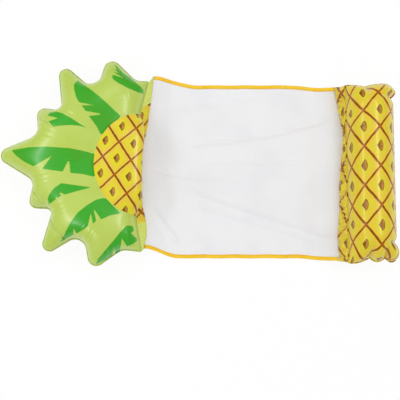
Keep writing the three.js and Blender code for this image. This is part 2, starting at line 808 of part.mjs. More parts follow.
// The binding: a tape folded over the net's edge, a U in section
function bindingBody(side, surface) {
  const under = -netThickness - fit;
  const section = [
    [fit + tapeThickness, under - tapeThickness], [fit + tapeThickness, fit + tapeThickness],
    [-bindingWidth, fit + tapeThickness], [-bindingWidth, fit],
    [fit, fit], [fit, under],
    [-bindingWidth, under], [-bindingWidth, under - tapeThickness],
  ];
  return sweptSection(section, edgeStations(side, surface, bindingEndGap));
}

function bindingThread(side, surface) {
  const low = 2 * fit + tapeThickness;
  const section = [
    [-bindingWidth + threadInset, low], [-bindingWidth + threadInset, low + threadThickness],
    [-bindingWidth + threadInset - threadWidth, low + threadThickness],
    [-bindingWidth + threadInset - threadWidth, low],
  ];
  return sweptSection(section, edgeStations(side, surface, threadEndGap));
}

const lounger = new THREE.Group();

// Head cushion
const head = new THREE.Group();
head.rotation.z = -headYaw;
lounger.add(head);
const headPlan = headChamber();
const headHeights = membraneHeights(headPlan.plan, headPlan.triangles, headPlan.loop);
const headTopShape = headShape(headPlan, headHeights, headRise, padOverhang);
const headBottomShape = headShape(headPlan, headHeights, headDepth, 0);
const headTop = filmBodies(headPlan, 1, headSeamHeight, headTopShape);
const headBottom = filmBodies(headPlan, -1, headSeamHeight, headBottomShape, true);
const headFlap = sheet(headFlapSurface, headFlapRows, headFlapColumns, filmThickness);
const headThread = sewingThread(headFlapSurface, headFlapRows, headFlapColumns);
addPiece(head, 'head_top_film', headTop.outer.subtract(headTop.inner), printedGreen);
addPiece(head, 'head_bottom_film', valveFilm(headBottom, headValve), plainFilm);
addPiece(head, 'head_tie_strip', tieStrip(headTop.air, headBottom.air), clearFilm);
addPiece(head, 'head_flap', headFlap, printedGreen);
addPiece(head, 'head_sewing_thread', headThread, threadYellow);
addValve(head, headValve, 'head');

// Foot bolster
const foot = new THREE.Group();
foot.position.set(footX, footY, 0);
lounger.add(foot);
const footPlan = footChamber();
const footTop = filmBodies(footPlan, 1, footSeamHeight, footShape(footPlan, footRise));
const footBottom = filmBodies(footPlan, -1, footSeamHeight, footShape(footPlan, footDepth), true);
const footFlap = sheet(footFlapSurface, footFlapRows, footFlapColumns, filmThickness);
const footThread = sewingThread(footFlapSurface, footFlapRows, footFlapColumns);
addPiece(foot, 'foot_top_film', footTop.outer.subtract(footTop.inner), printedYellow);
addPiece(foot, 'foot_bottom_film', valveFilm(footBottom, footValve), plainFilm);
addPiece(lounger, 'foot_flap', footFlap, printedYellow);
addPiece(lounger, 'foot_sewing_thread', footThread, threadYellow);
addValve(foot, footValve, 'foot');

// Net and bindings
addPiece(lounger, 'net_head_panel', sheet(netHeadSurface, netRows, netColumns, netThickness), netWhite);
addPiece(lounger, 'net_foot_panel', sheet(netFootSurface, netRows, netColumns, netThickness), netWhite);
for (const [sideName, side] of [['right', 1], ['left', -1]]) {
  for (const [half, surface] of [['head', netHeadSurface], ['foot', netFootSurface]]) {
    addPiece(lounger, `binding_${sideName}_${half}`, bindingBody(side, surface), bindingYellow);
    addPiece(lounger, `binding_thread_${sideName}_${half}`, bindingThread(side, surface), threadYellow);
  }
}

// The origin is the middle of the lounger's box, on the surface that it lies on
lounger.updateMatrixWorld(true);
const box = new THREE.Box3().setFromObject(lounger, true);
const middle = box.getCenter(new THREE.Vector3());
lounger.position.set(-middle.x, -middle.y, -box.min.z);

export default lounger;
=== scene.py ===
"""Floating air lounger: an inflated head cushion shaped as a leafy crown, an inflated foot bolster, and a
sheet of white net between them with yellow bindings. Metres, +Z up, head towards -X."""
import math

import bpy
import numpy as np
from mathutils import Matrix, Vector


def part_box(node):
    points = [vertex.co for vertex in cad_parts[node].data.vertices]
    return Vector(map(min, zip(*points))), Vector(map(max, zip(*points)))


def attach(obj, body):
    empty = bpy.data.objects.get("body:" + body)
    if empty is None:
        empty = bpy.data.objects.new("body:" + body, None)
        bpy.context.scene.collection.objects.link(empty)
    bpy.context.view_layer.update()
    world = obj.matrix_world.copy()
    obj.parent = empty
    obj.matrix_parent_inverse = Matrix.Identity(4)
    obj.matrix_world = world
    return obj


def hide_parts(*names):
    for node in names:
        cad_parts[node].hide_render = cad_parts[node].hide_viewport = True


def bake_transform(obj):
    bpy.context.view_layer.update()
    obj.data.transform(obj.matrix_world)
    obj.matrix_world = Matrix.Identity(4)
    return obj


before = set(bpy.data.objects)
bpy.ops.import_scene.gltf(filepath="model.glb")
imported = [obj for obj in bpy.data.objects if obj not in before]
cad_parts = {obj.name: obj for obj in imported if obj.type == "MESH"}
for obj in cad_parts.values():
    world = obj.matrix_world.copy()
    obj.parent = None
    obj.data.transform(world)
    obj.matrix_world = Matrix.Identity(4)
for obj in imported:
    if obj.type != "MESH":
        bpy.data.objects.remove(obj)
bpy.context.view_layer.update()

# Place and camera
# The lounger's own layout has the middle of the head cushion's net side at 0, 0 and X towards the bolster. It is
# seen from above and a little from its left side, and the camera looks past it, so it lies high in the picture.
mm = 0.001
fold_x, fold_gap = 325 * mm, 0.42 * mm
foot_y, foot_valve_y = -27 * mm, 140 * mm
valve_low, valve_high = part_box("foot_valve_base")
origin = np.array([
    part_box("net_head_panel")[1].x - fold_x + fold_gap,
    (valve_low.y + valve_high.y) / 2 - foot_y - foot_valve_y,
    0.0,
])
picture_pixels, pixel = 400, 3.3 * mm
picture_middle = picture_pixels / 2
origin_pixel = np.array([146.5, 165.5])
seam_level = 52 * mm
camera_elevation = math.radians(84)
lens, sensor = 70.0, 36.0
camera_distance = picture_middle * pixel / (sensor / 2 / lens)
camera_back = np.array([0.0, -math.cos(camera_elevation), math.sin(camera_elevation)])
camera_right = np.array([1.0, 0.0, 0.0])
camera_up = np.cross(camera_back, camera_right)
camera_aim = origin + [
    (picture_middle - origin_pixel[0]) * pixel,
    (origin_pixel[1] - picture_middle) * pixel,
    seam_level,
]
camera_place = camera_aim + camera_back * camera_distance


def joined(*parts):
    """Arrays of coordinates as one array of points."""
    return np.stack(parts, axis=-1)


def seen_pixel(points):
    """Where points are seen in the picture: their offset from the camera across and up, each divided by their
    distance ahead, times the lens length over the sensor width and the picture's width."""
    offset = points - camera_place
    scale = picture_pixels * lens / sensor / (-offset @ camera_back)
    return joined(picture_middle + offset @ camera_right * scale, picture_middle - offset @ camera_up * scale)


def on_level(pixels, level):
    """The layout's x and y of seen places on a level plane: the line of sight carried down to that height."""
    across, down = (np.asarray(pixels, float) - picture_middle).T * sensor / lens / picture_pixels
    sight = across[..., None] * camera_right - down[..., None] * camera_up - camera_back
    reach = (level - camera_place[2]) / sight[..., 2]
    return (camera_place + sight * reach[..., None] - origin)[..., :2]


def add_object(name, data, place=None, way=None):
    """An object in the scene: a piece at the origin, or a camera or lamp at a place, turned to look one way."""
    made = bpy.data.objects.new(name, data)
    bpy.context.scene.collection.objects.link(made)
    if place is not None:
        made.location = place
        made.rotation_mode = "QUATERNION"
        made.rotation_quaternion = Vector(way).to_track_quat("-Z", "Y")
    return made


camera = add_object("camera", bpy.data.cameras.new("camera"), camera_place, -camera_back)
camera.data.lens, camera.data.sensor_width = lens, sensor
bpy.context.scene.camera = camera

# Floor, backdrop and lamps
# A white floor that keeps a light shadow, a white room, and four soft boxes: those at the lounger's ends and low
# left lay streaks along the leaves and along the bolster, and the one behind it is a faint fill.


def paint(red, green, blue):
    """A screen colour of 0 to 255 as the linear light that a shader works with."""
    share = np.array([red, green, blue]) / 255
    light = np.where(share <= 0.04045, share / 12.92, ((share + 0.055) / 1.055) ** 2.4)
    return (*light.tolist(), 1.0)


def put(tree, kind, sockets=None, **settings):
    """A shader node with its settings, and its sockets set to a value or joined to another node's output."""
    made = tree.nodes.new("ShaderNode" + kind)
    for name, value in settings.items():
        setattr(made, name, value)
    for key, value in (sockets or {}).items():
        if isinstance(value, bpy.types.NodeSocket):
            tree.links.new(value, made.inputs[key])
        else:
            made.inputs[key].default_value = value
    return made


signs = {"+": "ADD", "-": "SUBTRACT", "*": "MULTIPLY", "/": "DIVIDE", "^": "POWER"}


def calc(tree, sign, *values):
    """The output of a Math node over values, sockets and inner formulas, each a tuple (sign, values)."""
    values = [calc(tree, *value) if isinstance(value, tuple) else value for value in values]
    return put(tree, "Math", dict(enumerate(values)), operation=signs.get(sign, sign)).outputs[0]


def rising(tree, value, low, high):
    """A smooth step: 0 where the value is below low, 1 above high."""
    sockets = {"Value": value, "From Min": low, "From Max": high}
    return put(tree, "MapRange", sockets, interpolation_type="SMOOTHSTEP").outputs[0]


def tinted(tree, share, first, second):
    """The first colour where share is 0 and the second where it is 1."""
    return put(tree, "Mix", {0: share, 6: first, 7: second}, data_type="RGBA").outputs[2]


def mottled(tree, value, low, high, first, second):
    """A paint that turns into a second one as a value rises from low to high."""
    return tinted(tree, rising(tree, value, low, high), paint(*first), paint(*second))


def noise(tree, scale, detail):
    """Noise over the object's own coordinates: its value and its colour."""
    place = put(tree, "TexCoord").outputs["Object"]
    return put(tree, "TexNoise", {"Vector": place, "Scale": scale, "Detail": detail}).outputs


def bumped(tree, height, strength, distance):
    """A height as a normal."""
    return put(tree, "Bump", {"Height": height, "Strength": strength, "Distance": distance}).outputs[0]


def new_material(name):
    """An empty node material and its tree."""
    material = bpy.data.materials.new(name)
    material.use_nodes = True
    material.node_tree.nodes.clear()
    return material, material.node_tree


def principled(tree, base, roughness, normal, others):
    """A Principled shader wired to the material's output."""
    sockets = {"Base Color": base, "Roughness": roughness, "Normal": normal, **others}
    put(tree, "OutputMaterial", {"Surface": put(tree, "BsdfPrincipled", sockets).outputs[0]})


def make_piece(name, points, *face_sets):
    """A smooth mesh object at the origin from points and arrays of faces."""
    mesh = bpy.data.meshes.new(name)
    faces = [face for faces in face_sets for face in np.asarray(faces).tolist()]
    mesh.from_pydata(np.asarray(points).reshape(-1, 3).tolist(), [], faces)
    mesh.polygons.foreach_set("use_smooth", np.full(len(faces), True))
    return add_object(name, mesh)


floor_reach, floor_drop = 6.0, 0.2 * mm
floor_grey, seen_white, seen_share = 0.8, 1.02, 0.9
white = (1, 1, 1, 1)
floor_corners = np.array([[-1, -1, 0], [1, -1, 0], [1, 1, 0], [-1, 1, 0]]) * floor_reach
floor = make_piece("floor", floor_corners - [0, 0, floor_drop], [[0, 1, 2, 3]])
floor_paint, tree = new_material("white_floor")
lit = put(tree, "BsdfDiffuse", {"Color": (floor_grey, floor_grey, floor_grey, 1)}).outputs[0]
plain = put(tree, "Emission", {"Color": white, "Strength": seen_white}).outputs[0]
rays = put(tree, "LightPath").outputs
direct = ("MAXIMUM", rays["Is Camera Ray"], ("MAXIMUM", rays["Is Glossy Ray"], rays["Is Transmission Ray"]))
white_share = calc(tree, "*", direct, seen_share)
mixed = put(tree, "MixShader", {0: white_share, 1: lit, 2: plain}).outputs[0]
put(tree, "OutputMaterial", {"Surface": mixed})
floor.data.materials.append(floor_paint)

room_light, glossy_loss = 0.645, 0.6
room = bpy.data.worlds.new("white_room")
room.use_nodes = True
tree = room.node_tree
tree.nodes.clear()
rays = put(tree, "LightPath").outputs
strength = calc(tree, "MAXIMUM", rays["Is Camera Ray"],
                ("-", room_light, ("*", rays["Is Glossy Ray"], glossy_loss)))
background = put(tree, "Background", {"Color": white, "Strength": strength}).outputs[0]
put(tree, "OutputWorld", {"Surface": background})
bpy.context.scene.world = room

for name, place, aim, width, length, power in (
    ("left_box", (-2.1, 0.55, 2.2), (-0.3, 0, 0), 1.5, 0.33, 12),
    ("low_box", (-1.8, -1.4, 2.7), (-0.4, -0.1, 0), 1.3, 0.4, 14),
    ("right_box", (1.7, 0.5, 2.8), (0.3, 0, 0), 1.9, 0.5, 20),
    ("top_box", (0.2, 1.9, 3.0), (0, 0, 0), 1.6, 0.8, 6),
):
    lamp = bpy.data.lights.new(name, "AREA")
    lamp.shape, lamp.size, lamp.size_y, lamp.energy = "RECTANGLE", width, length, power
    add_object(name, lamp, place, Vector(aim) - Vector(place))
bpy.context.scene.view_settings.view_transform = "Standard"

# Head cushion
# Two sheets of soft printed PVC welded together round the outline of a leafy crown and blown up, so that the
# welded edge puckers. A curved tie strip inside holds them closer along the line between leaves and fruit.
head_length, head_half_width = 482 * mm, 338 * mm
head_rise, head_depth, bottom_pucker_share = 112 * mm, 74 * mm, 0.6
head_yaw = math.radians(4.2)
leaf_tip_radius = 23.4 * mm
seam_inset, seam_sag, seam_skew = 8 * mm, 36 * mm, 0.04
pad_radius, pad_centre, pad_overhang = 174 * mm, -8 * mm, 54 * mm
fan_centre, ray_spread_share = 46 * mm, 0.15
groove_share, groove_width, groove_reach = 0.16, 26 * mm, 52 * mm
corner_reach = 282 * mm
film, weld_width = 0.4 * mm, 4 * mm
crown_columns, crown_rows, pad_rows = 560, 56, 22
# The corners of one half: each one's place as shares of the head's length and half width, and its radius as a
# share of the leaf tips'. Four of all the corners lean aside, by millimetres.
crown_corners = np.array([
    (1.056, 0, 1), (0.757, 0.223, 1.55), (0.785, 0.489, 0.92), (0.607, 0.48, 0.85),
    (0.688, 0.984, 0.9), (0.389, 0.679, 1.75), (0.321, 1.059, 1.08), (0.125, 0.827, 2.1),
])
crown_leans = {3: (4, 3), 5: (3, 0), 11: (8, 0), 13: (-1, 4)}


def bell(distance, width):
    """A bell curve over a distance: e to the power of minus its square over the width's square."""
    return np.exp(-(distance / width) ** 2)


def length_of(vectors):
    """The lengths of vectors."""
    return np.linalg.norm(vectors, axis=-1)


def unit(vectors):
    """Vectors made one long."""
    return vectors / length_of(vectors)[..., None]


def run_along(line):
    """How far each point of a line is from its start, along it; or so for each column of a grid of points."""
    steps = length_of(np.diff(line, axis=0))
    return np.concatenate([np.zeros_like(steps[:1]), np.cumsum(steps, axis=0)])


def turned(x, y, angle):
    """Places turned clockwise by an angle."""
    return math.cos(angle) * x + math.sin(angle) * y, math.cos(angle) * y - math.sin(angle) * x


def seam_x(y):
    """The welded edge beside the net: a straight line across, drawn in by a parabola between its corners."""
    return -seam_inset - seam_skew * y - seam_sag * (1 - (y / corner_reach) ** 2)


def rounded(before, at, after, radius):
    """Points on the arc of a given radius that touches both sides of a corner."""
    steps = 24
    to_before, to_after = unit(before - at), unit(after - at)
    half_angle = math.acos(np.clip(to_before @ to_after, -1, 1)) / 2
    centre = at + unit(to_before + to_after) * radius / math.sin(half_angle)
    ends = [at + side * radius / math.tan(half_angle) - centre for side in (to_before, to_after)]
    start, end = (math.atan2(y, x) for x, y in ends)
    turn = (end - start + math.pi) % (2 * math.pi) - math.pi
    angles = start + turn * np.linspace(0, 1, steps)
    return centre + radius * joined(np.cos(angles), np.sin(angles))


def crown_outline():
    """The crown's outline from its low to its high net corner: the mirrored sharp corners, each rounded, then
    spaced evenly along the whole length."""
    half = crown_corners * [-head_length, head_half_width, leaf_tip_radius]
    corners = np.concatenate([half[:0:-1] * [1, -1, 1], half])
    for number, lean in crown_leans.items():
        corners[number, :2] += np.array(lean) * mm
    low, high = ([[seam_x(y), y]] for y in (-corner_reach, corner_reach))
    stops = np.concatenate([low, corners[:, :2], high])
    arcs = [rounded(*stops[i:i + 3], corner[2]) for i, corner in enumerate(corners)]
    line = np.concatenate([low, *arcs, high])
    run = run_along(line)
    at = np.linspace(0, run[-1], crown_columns + 1)
    return joined(*(np.interp(at, run, part) for part in line.T))


def arc_end(side):
    """The angle at which the line between leaves and fruit meets the seam, by halving."""
    inside, outside, halvings = math.pi / 4, math.pi * 3 / 4, 40
    for _ in range(halvings):
        middle = (inside + outside) / 2
        x, y = -pad_centre - pad_radius * math.cos(middle), side * pad_radius * math.sin(middle)
        inside, outside = (middle, outside) if x < seam_x(y) else (inside, middle)
    return side * inside


def numbered(rows, columns, first=0):
    """The numbers of a grid's points, row by row."""
    return first + np.arange(rows * columns).reshape(rows, columns)


def grid_faces(numbers):
    """Four-cornered faces over a grid of point numbers."""
    return joined(numbers[:-1, :-1], numbers[1:, :-1], numbers[1:, 1:], numbers[:-1, 1:]).reshape(-1, 4)


def head_plan():
    """The flat cushion. Crown rows run from the line between leaves and fruit (an arc) along straight rays to the
    outline; pad rows run from the arc along x to the seam. Both crowd towards their edge as a sine does."""
    outline = crown_outline()
    fan = np.arctan2(outline[:, 1], -outline[:, 0] - fan_centre)
    share = (np.maximum.accumulate(fan) - fan[0]) / (fan[-1] - fan[0])
    share = share * (1 - ray_spread_share) + np.linspace(0, 1, len(outline)) * ray_spread_share
    angle = arc_end(-1) + (arc_end(1) - arc_end(-1)) * share
    arc = joined(-pad_centre - pad_radius * np.cos(angle), pad_radius * np.sin(angle))
    reach, pad_reach = (np.sin(np.linspace(0, math.pi / 2, rows + 1))[:, None] for rows in (crown_rows, pad_rows))
    crown = arc + (outline - arc) * reach[..., None]
    crown[:, [0, -1], 0] = seam_x(crown[:, [0, -1], 1])
    x, y = arc[1:-1].T
    pad_x = x + (seam_x(y) - x) * pad_reach[1:]
    return crown, joined(pad_x, np.broadcast_to(y, pad_x.shape)), pad_reach[1:, 0]


crown, pad, pad_reach = head_plan()
columns = crown_columns + 1
crown_numbers = numbered(crown_rows + 1, columns)
crown_count = crown_numbers.size
plan = np.concatenate([crown.reshape(-1, 2), pad.reshape(-1, 2)])
pad_share = np.concatenate([np.zeros(crown_count), np.repeat(pad_reach, columns - 2)])
crown_faces = grid_faces(crown_numbers)[:, ::-1]
pad_numbers = np.concatenate([crown_numbers[:1, 1:-1], numbered(pad_rows, columns - 2, crown_count)])
pad_faces = grid_faces(pad_numbers)
low_end = joined(np.zeros(pad_rows, int), pad_numbers[1:, 0], pad_numbers[:-1, 0])
high_end = joined(np.full(pad_rows, columns - 1), pad_numbers[:-1, -1], pad_numbers[1:, -1])
head_loop = np.concatenate([
    crown_numbers[-1, ::-1], crown_numbers[-2::-1, 0], pad_numbers[-1], crown_numbers[:-1, -1],
])


def blown_up(plan, triangles, border):
    """How high even pressure lifts a skin over a flat outline: u solves lap(u) = -1 with u = 0 on the outline,
    by conjugate gradients on the plan's triangles with cotangent links, and the height is the root of 2 u."""
    rounds, tolerance, least_area, least_weight = 2500, 1e-5, 1e-14, 1e-9
    count = len(plan)
    links, areas = [], np.zeros(count)
    for k in range(3):
        a, b, c = (triangles[:, (k + step) % 3] for step in range(3))
        u, v = plan[b] - plan[a], plan[c] - plan[a]
        twice_area = np.abs(u[:, 0] * v[:, 1] - u[:, 1] * v[:, 0]) + least_area
        links.append((b, c, (u * v).sum(axis=1) / twice_area / 2))
        areas += np.bincount(a, twice_area / 6, count)
    start, end, weight = (np.concatenate(part) for part in zip(*links))
    free = np.ones(count)
    free[border] = 0
    total = np.bincount(start, weight, count) + np.bincount(end, weight, count)
    total = np.maximum(total, least_weight)

    def pulled(u):
        """The stiffness of the skin applied to u."""
        return (total * u - np.bincount(start, weight * u[end], count)
                - np.bincount(end, weight * u[start], count)) * free

    u, left = np.zeros(count), areas * free
    way = left / total
    energy = left @ way
    enough = energy * tolerance ** 2
    for _ in range(rounds):
        change = pulled(way)
        step = energy / (way @ change)
        u, left = u + step * way, left - step * change
        eased = left / total
        energy, before = left @ eased, energy
        if energy < enough:
            break
        way = eased + way * energy / before
    return np.sqrt(2 * np.maximum(u, 0))


halves = [faces[:, corners] for faces in (crown_faces, pad_faces) for corners in ([0, 1, 2], [0, 2, 3])]
skin_height = blown_up(plan, np.concatenate([*halves, low_end, high_end]), head_loop)


def levelled(height, limit):
    """A height that follows the skin's when small and levels off towards a limit."""
    return height / np.sqrt(1 + (height / limit) ** 2)


def head_placed(points):
    """Points of the head's own frame in the shared frame: turned by the yaw and moved to the layout's origin."""
    x, y, z = np.moveaxis(points, -1, 0)
    return joined(*turned(x, y, head_yaw), z) + origin


def to_head(places):
    """Layout places in the head cushion's own frame."""
    return joined(*turned(places[..., 0], places[..., 1], -head_yaw))


# The welded edge draws the films into short puckers, deepest round the leaf tips, and each valley between two
# leaves throws one soft crease inwards.
outline = crown[-1]
pucker_length, pucker_reach, pucker_depth, rim_wave_height = 21 * mm, 15 * mm, 1.5 * mm, 1.1 * mm
valley_depth, valley_width, valley_reach = 1.3 * mm, 7 * mm, 46 * mm
run = run_along(outline)
wander = 1.1 * np.sin(run / (47 * mm) + 0.6) + 0.8 * np.sin(run / (19 * mm) + 2.1)
strength = 0.62 + 0.38 * np.sin(run / (61 * mm) + 1.3) * np.sin(run / (23 * mm))
gather = np.cos(2 * math.pi * run / pucker_length + wander) * strength
from_outline = length_of(crown - outline)
pucker = pucker_depth * gather * (from_outline / pucker_reach) * np.exp(1 - from_outline / pucker_reach)
for corner in crown_corners[1::2]:
    for side in (1, -1):
        column = np.argmin(length_of(outline - corner[:2] * [-head_length, side * head_half_width]))
        aside = length_of(crown - crown[:, column:column + 1])
        along = from_outline[:, column:column + 1] / valley_reach
        pucker -= valley_depth * bell(aside, valley_width) * (2 * along * np.exp(1 - 2 * along))
pucker = np.concatenate([pucker.ravel(), np.zeros(len(plan) - crown_count)])

# Two leaf tips are bent over by a crease, and a band of fine ripples runs along the crown beside the tie strip.
tip_creases = [
    [(31.5, 188), (34.4, 192), (37, 196.6), (40.8, 201.7), (45.9, 203)],
    [(50, 219), (52.9, 224), (55.5, 229.7), (57.4, 232.3), (61.2, 235.2), (64, 238.5)],
    [(40.8, 118.5), (45, 122.5), (49.5, 125)],
]
crease_depth, crease_width, tip_level = 6 * mm, 3.6 * mm, 90 * mm
ripple_height, ripple_length, ripple_band = 0.5 * mm, 8 * mm, 11 * mm
ripple_offsets, ripple_start, least_ripple = (0, 72 * mm), -14 * mm, 0.1


def line_distance(places, line):
    """The least distance of places from a line of points."""
    offset = places[..., None, :] - line[:-1]
    side = np.diff(line, axis=0)
    share = np.clip((offset * side).sum(-1) / (side ** 2).sum(-1), 0, 1)
    return length_of(offset - share[..., None] * side).min(axis=-1)


for line in tip_creases:
    pucker -= crease_depth * bell(line_distance(plan, to_head(on_level(line, tip_level))), crease_width)
from_arc = np.hypot(plan[:, 0] + pad_centre, plan[:, 1]) - pad_radius
arc_angle = np.arctan2(plan[:, 1], -plan[:, 0] - pad_centre)
ripple = np.cos(2 * math.pi * arc_angle * pad_radius / ripple_length + 1.5 * np.sin(7 * arc_angle))
for offset in ripple_offsets:
    band = bell(from_arc - offset, ripple_band)
    band *= np.clip(0.5 + 0.9 * np.sin(9 * arc_angle + offset / (20 * mm)), least_ripple, 1)
    pucker += ripple_height * band * ripple * (from_arc > ripple_start)

drawn = 1 - groove_share * bell(from_arc, np.where(from_arc > 0, groove_reach, groove_width))
arc_low, arc_high = (pad_radius * math.sin(arc_end(side)) for side in (-1, 1))
across = 1 - (plan[:, 1] / np.where(plan[:, 1] < 0, arc_low, arc_high)) ** 4
overhang = pad_overhang * np.maximum(across, 0) * np.sin(math.pi * np.sqrt(1 - pad_share)) * (pad_share > 0)
top = joined(plan[:, 0] + overhang, plan[:, 1],
             seam_level + film + levelled(skin_height, head_rise) * drawn + pucker)
bottom_height = levelled(skin_height, head_depth) * drawn + bottom_pucker_share * pucker
bottom = joined(*plan.T, np.maximum(seam_level - film - bottom_height, 0))

# The valve sits at the bottom of a dimple, pushed in, and the film is open round its collar.
head_valve = np.array([-255, -40]) * mm
dimple_height, dimple_top, dimple_mouth, collar_reach = 24 * mm, 18 * mm, 34 * mm, 9.5 * mm


def dimpled(points, valve):
    """A bottom film pushed up round a valve: level inside the top radius, and outside it in a smooth curve
    s * s * (3 - 2 * s) of the share s of the way in from the mouth radius."""
    share = np.clip((dimple_mouth - length_of(points[:, :2] - valve)) / (dimple_mouth - dimple_top), 0, 1)
    return joined(*points[:, :2].T, np.maximum(points[:, 2], dimple_height * share ** 2 * (3 - 2 * share)))


def weld_rim(points, border, wave):
    """The border moved outwards, square to its neighbours' line, by the width of the weld, on its own level
    plus a small wave."""
    x, y, z = points[border].T
    out = unit(joined(np.roll(y, -1) - np.roll(y, 1), np.roll(x, 1) - np.roll(x, -1)))
    return joined(*(np.array([x, y]) + weld_width * out.T), z + wave)


def both_films(values, border):
    """Values of one film's points, given to both films, each followed by its rim."""
    return np.tile(np.concatenate([values, values[border]]), (2, 1))


def closed_skin(name, top, bottom, quads, triangles, border, wave, valve, placed):
    """Both films of a chamber in one mesh, joined by the weld round the border, and open round the valve; with
    its points, placed in the shared frame."""
    bottom = dimpled(bottom, valve)
    films = [np.concatenate([surface, weld_rim(surface, border, wave)]) for surface in (top, bottom)]
    film_size, count = len(films[0]), len(border)
    upper_rim = len(top) + np.arange(count)
    rings = [np.append(ring, ring[0]) for ring in (border, upper_rim, upper_rim + film_size, border + film_size)]
    welds = [joined(low[:-1], high[:-1], high[1:], low[1:]) for low, high in zip(rings, rings[1:])]
    middles = bottom[quads].mean(axis=1)
    under_quads = quads[length_of(middles[:, :2] - valve) > collar_reach]
    under = [faces[:, ::-1] + film_size for faces in (under_quads, triangles)]
    points = placed(np.concatenate(films))
    piece = make_piece(name, points, quads, triangles, *welds, *under)
    of_bottom = np.arange(len(piece.data.polygons)) >= len(quads) + len(triangles) + 3 * count
    piece.data.polygons.foreach_set("material_index", of_bottom.astype(int))
    return piece, points


rim_wave = np.zeros(len(head_loop))
rim_wave[:columns] = rim_wave_height * gather[::-1]
head_cushion, points = closed_skin(
    "head_cushion_skin", top, bottom, np.concatenate([crown_faces, pad_faces]),
    np.concatenate([low_end, high_end]), head_loop, rim_wave, head_valve, head_placed)

# Print of the crown: each leaf has a darker green blade with torn notches, and the fruit below is yellow with a
# lattice of brown lines. The blades' outlines are where they are seen in the picture.
blades = [
    [(11.3, 150.3), (28.7, 147.2), (45.9, 146.5), (68.9, 148), (82.3, 150.6), (96.5, 154.4), (96.3, 166.4),
     (94.8, 176.9), (90, 175.9), (82.3, 174), (70.3, 172.9), (69.1, 158.7), (62.7, 171.6), (42.1, 168.8),
     (52.2, 155.4), (33.5, 166.4), (23.9, 161.6), (16.3, 155.8)],
    [(77.5, 80.3), (82.9, 84), (91.2, 89.8), (99.5, 96.4), (107.8, 103.9), (116.1, 111.8), (120.6, 115.9),
     (116, 122.9), (109, 128.5), (101.5, 134.9), (99.9, 132.9), (97, 127.1), (92.9, 121.3), (88.7, 115.9),
     (104.5, 114.3), (85.4, 110.9), (81.7, 105.1), (96.6, 105.7), (78.8, 102.2), (75.9, 96.4), (74.2, 89.8),
     (73.8, 84.8)],
    [(47.3, 115.5), (49.8, 112.6), (56.4, 111.4), (63, 113.4), (70.5, 117.6), (78.8, 123), (86.2, 127.7),
     (79.6, 125.9), (71.3, 125), (61.4, 125.5), (53.5, 126.7), (51.4, 124.6), (48.5, 121.3), (58, 118)],
    [(113.6, 64), (117.4, 66.6), (123.8, 73.6), (130.2, 77.4), (136.5, 83.2), (141.6, 87.6), (143.5, 89.9),
     (143.5, 94), (136.5, 91.8), (127, 87.6), (117.4, 82.5), (112.9, 79), (112, 76.1), (113.6, 74.9),
     (124.4, 78.4), (112.9, 71.7), (119, 73), (113.2, 68.6), (117.5, 70.2)],
    [(61.2, 183.1), (91.4, 187.4), (76.6, 191.2), (65.1, 194.6), (58.4, 191.7), (61.2, 196), (57.4, 198.4),
     (55.5, 195.6), (55.8, 199.2), (48.8, 204.6), (47.8, 198.9), (48.8, 195), (53.6, 188.4)],
    [(102.9, 198), (106, 198.5), (112.7, 205.6), (121, 213.5), (110, 215.4), (101.1, 219.5), (93.5, 208.3),
     (96.2, 220.8), (93, 223.9), (90.8, 213.2), (87.7, 226.2), (82.3, 230.2), (76.5, 233.8), (73.4, 227.9),
     (73.4, 234.6), (65.4, 239.1), (60, 242.7), (57.4, 247.3), (63.6, 236.4), (66.3, 230.2), (70.7, 222.1),
     (77.9, 212.3), (86.8, 205.2), (95.7, 199.8)],
    [(127, 225.5), (132.7, 225.8), (134, 230.6), (130.8, 233.2), (136.5, 238.3), (137.5, 240.2),
     (135.9, 241.8), (132.1, 244.6), (127, 246.6), (121.9, 238.3), (119.9, 251.7), (115.5, 253.9),
     (114.3, 247.8), (112, 255.8), (104.6, 260.3), (95.7, 264.4), (98.3, 258.7), (104.6, 251), (111, 243.4),
     (117.4, 235.7), (122.5, 229.3)],
]


def inside_distance(places, outline):
    """How far each place is inside a closed outline, negative outside: the least distance to its sides, with
    the sign of an odd or even count of the sides crossed by a line to the right."""
    start = np.array(outline)
    end = np.roll(start, -1, axis=0)
    side = end - start
    offset = places[:, None] - start
    spans = (start[:, 1] > places[:, None, 1]) != (end[:, 1] > places[:, None, 1])
    least_rise = 1e-12
    rise = np.where(side[:, 1] == 0, least_rise, side[:, 1])
    crossing = start[:, 0] + offset[..., 1] / rise * side[:, 0]
    crossed = (spans & (places[:, None, 0] < crossing)).sum(axis=1)
    return line_distance(places, np.concatenate([start, start[:1]])) * np.where(crossed % 2 == 1, 1, -1)


def add_attribute(piece, name, values):
    """A number at each point of a piece's mesh, for its material to read."""
    attribute = piece.data.attributes.new(name, "FLOAT", "POINT")
    attribute.data.foreach_set("value", np.asarray(values, np.float32).ravel())


def add_map(piece, name, places):
    """A UV map from one place for each point."""
    corners = np.empty(len(piece.data.loops), int)
    piece.data.loops.foreach_get("vertex_index", corners)
    layer = piece.data.uv_layers.new(name=name)
    layer.data.foreach_set("uv", places.reshape(-1, 2)[corners].astype(np.float32).ravel())


seen = seen_pixel(points)
add_attribute(head_cushion, "blade", np.max([inside_distance(seen, blade) for blade in blades], axis=0) * pixel)
fruit_inside = pad_radius - np.hypot(*(both_films(plan, head_loop) + [pad_centre, 0]).T)
add_attribute(head_cushion, "fruit", fruit_inside)

# The lattice is laid out flat: across it is the length of the film from the line between leaves and fruit.
head_cell = np.array([92.8, 107.6]) * mm
head_lattice_turn = math.radians(3.2)
pad_lines = np.concatenate([top[1:columns - 1][None], top[crown_count:].reshape(pad_rows, -1, 3)])
flat_x = top[:, 0].copy()
flat_x[crown_count:] = (pad_lines[0, :, 0] + run_along(pad_lines)[1:]).ravel()
head_node = to_head(on_level([119.2, 141.7], 135 * mm))


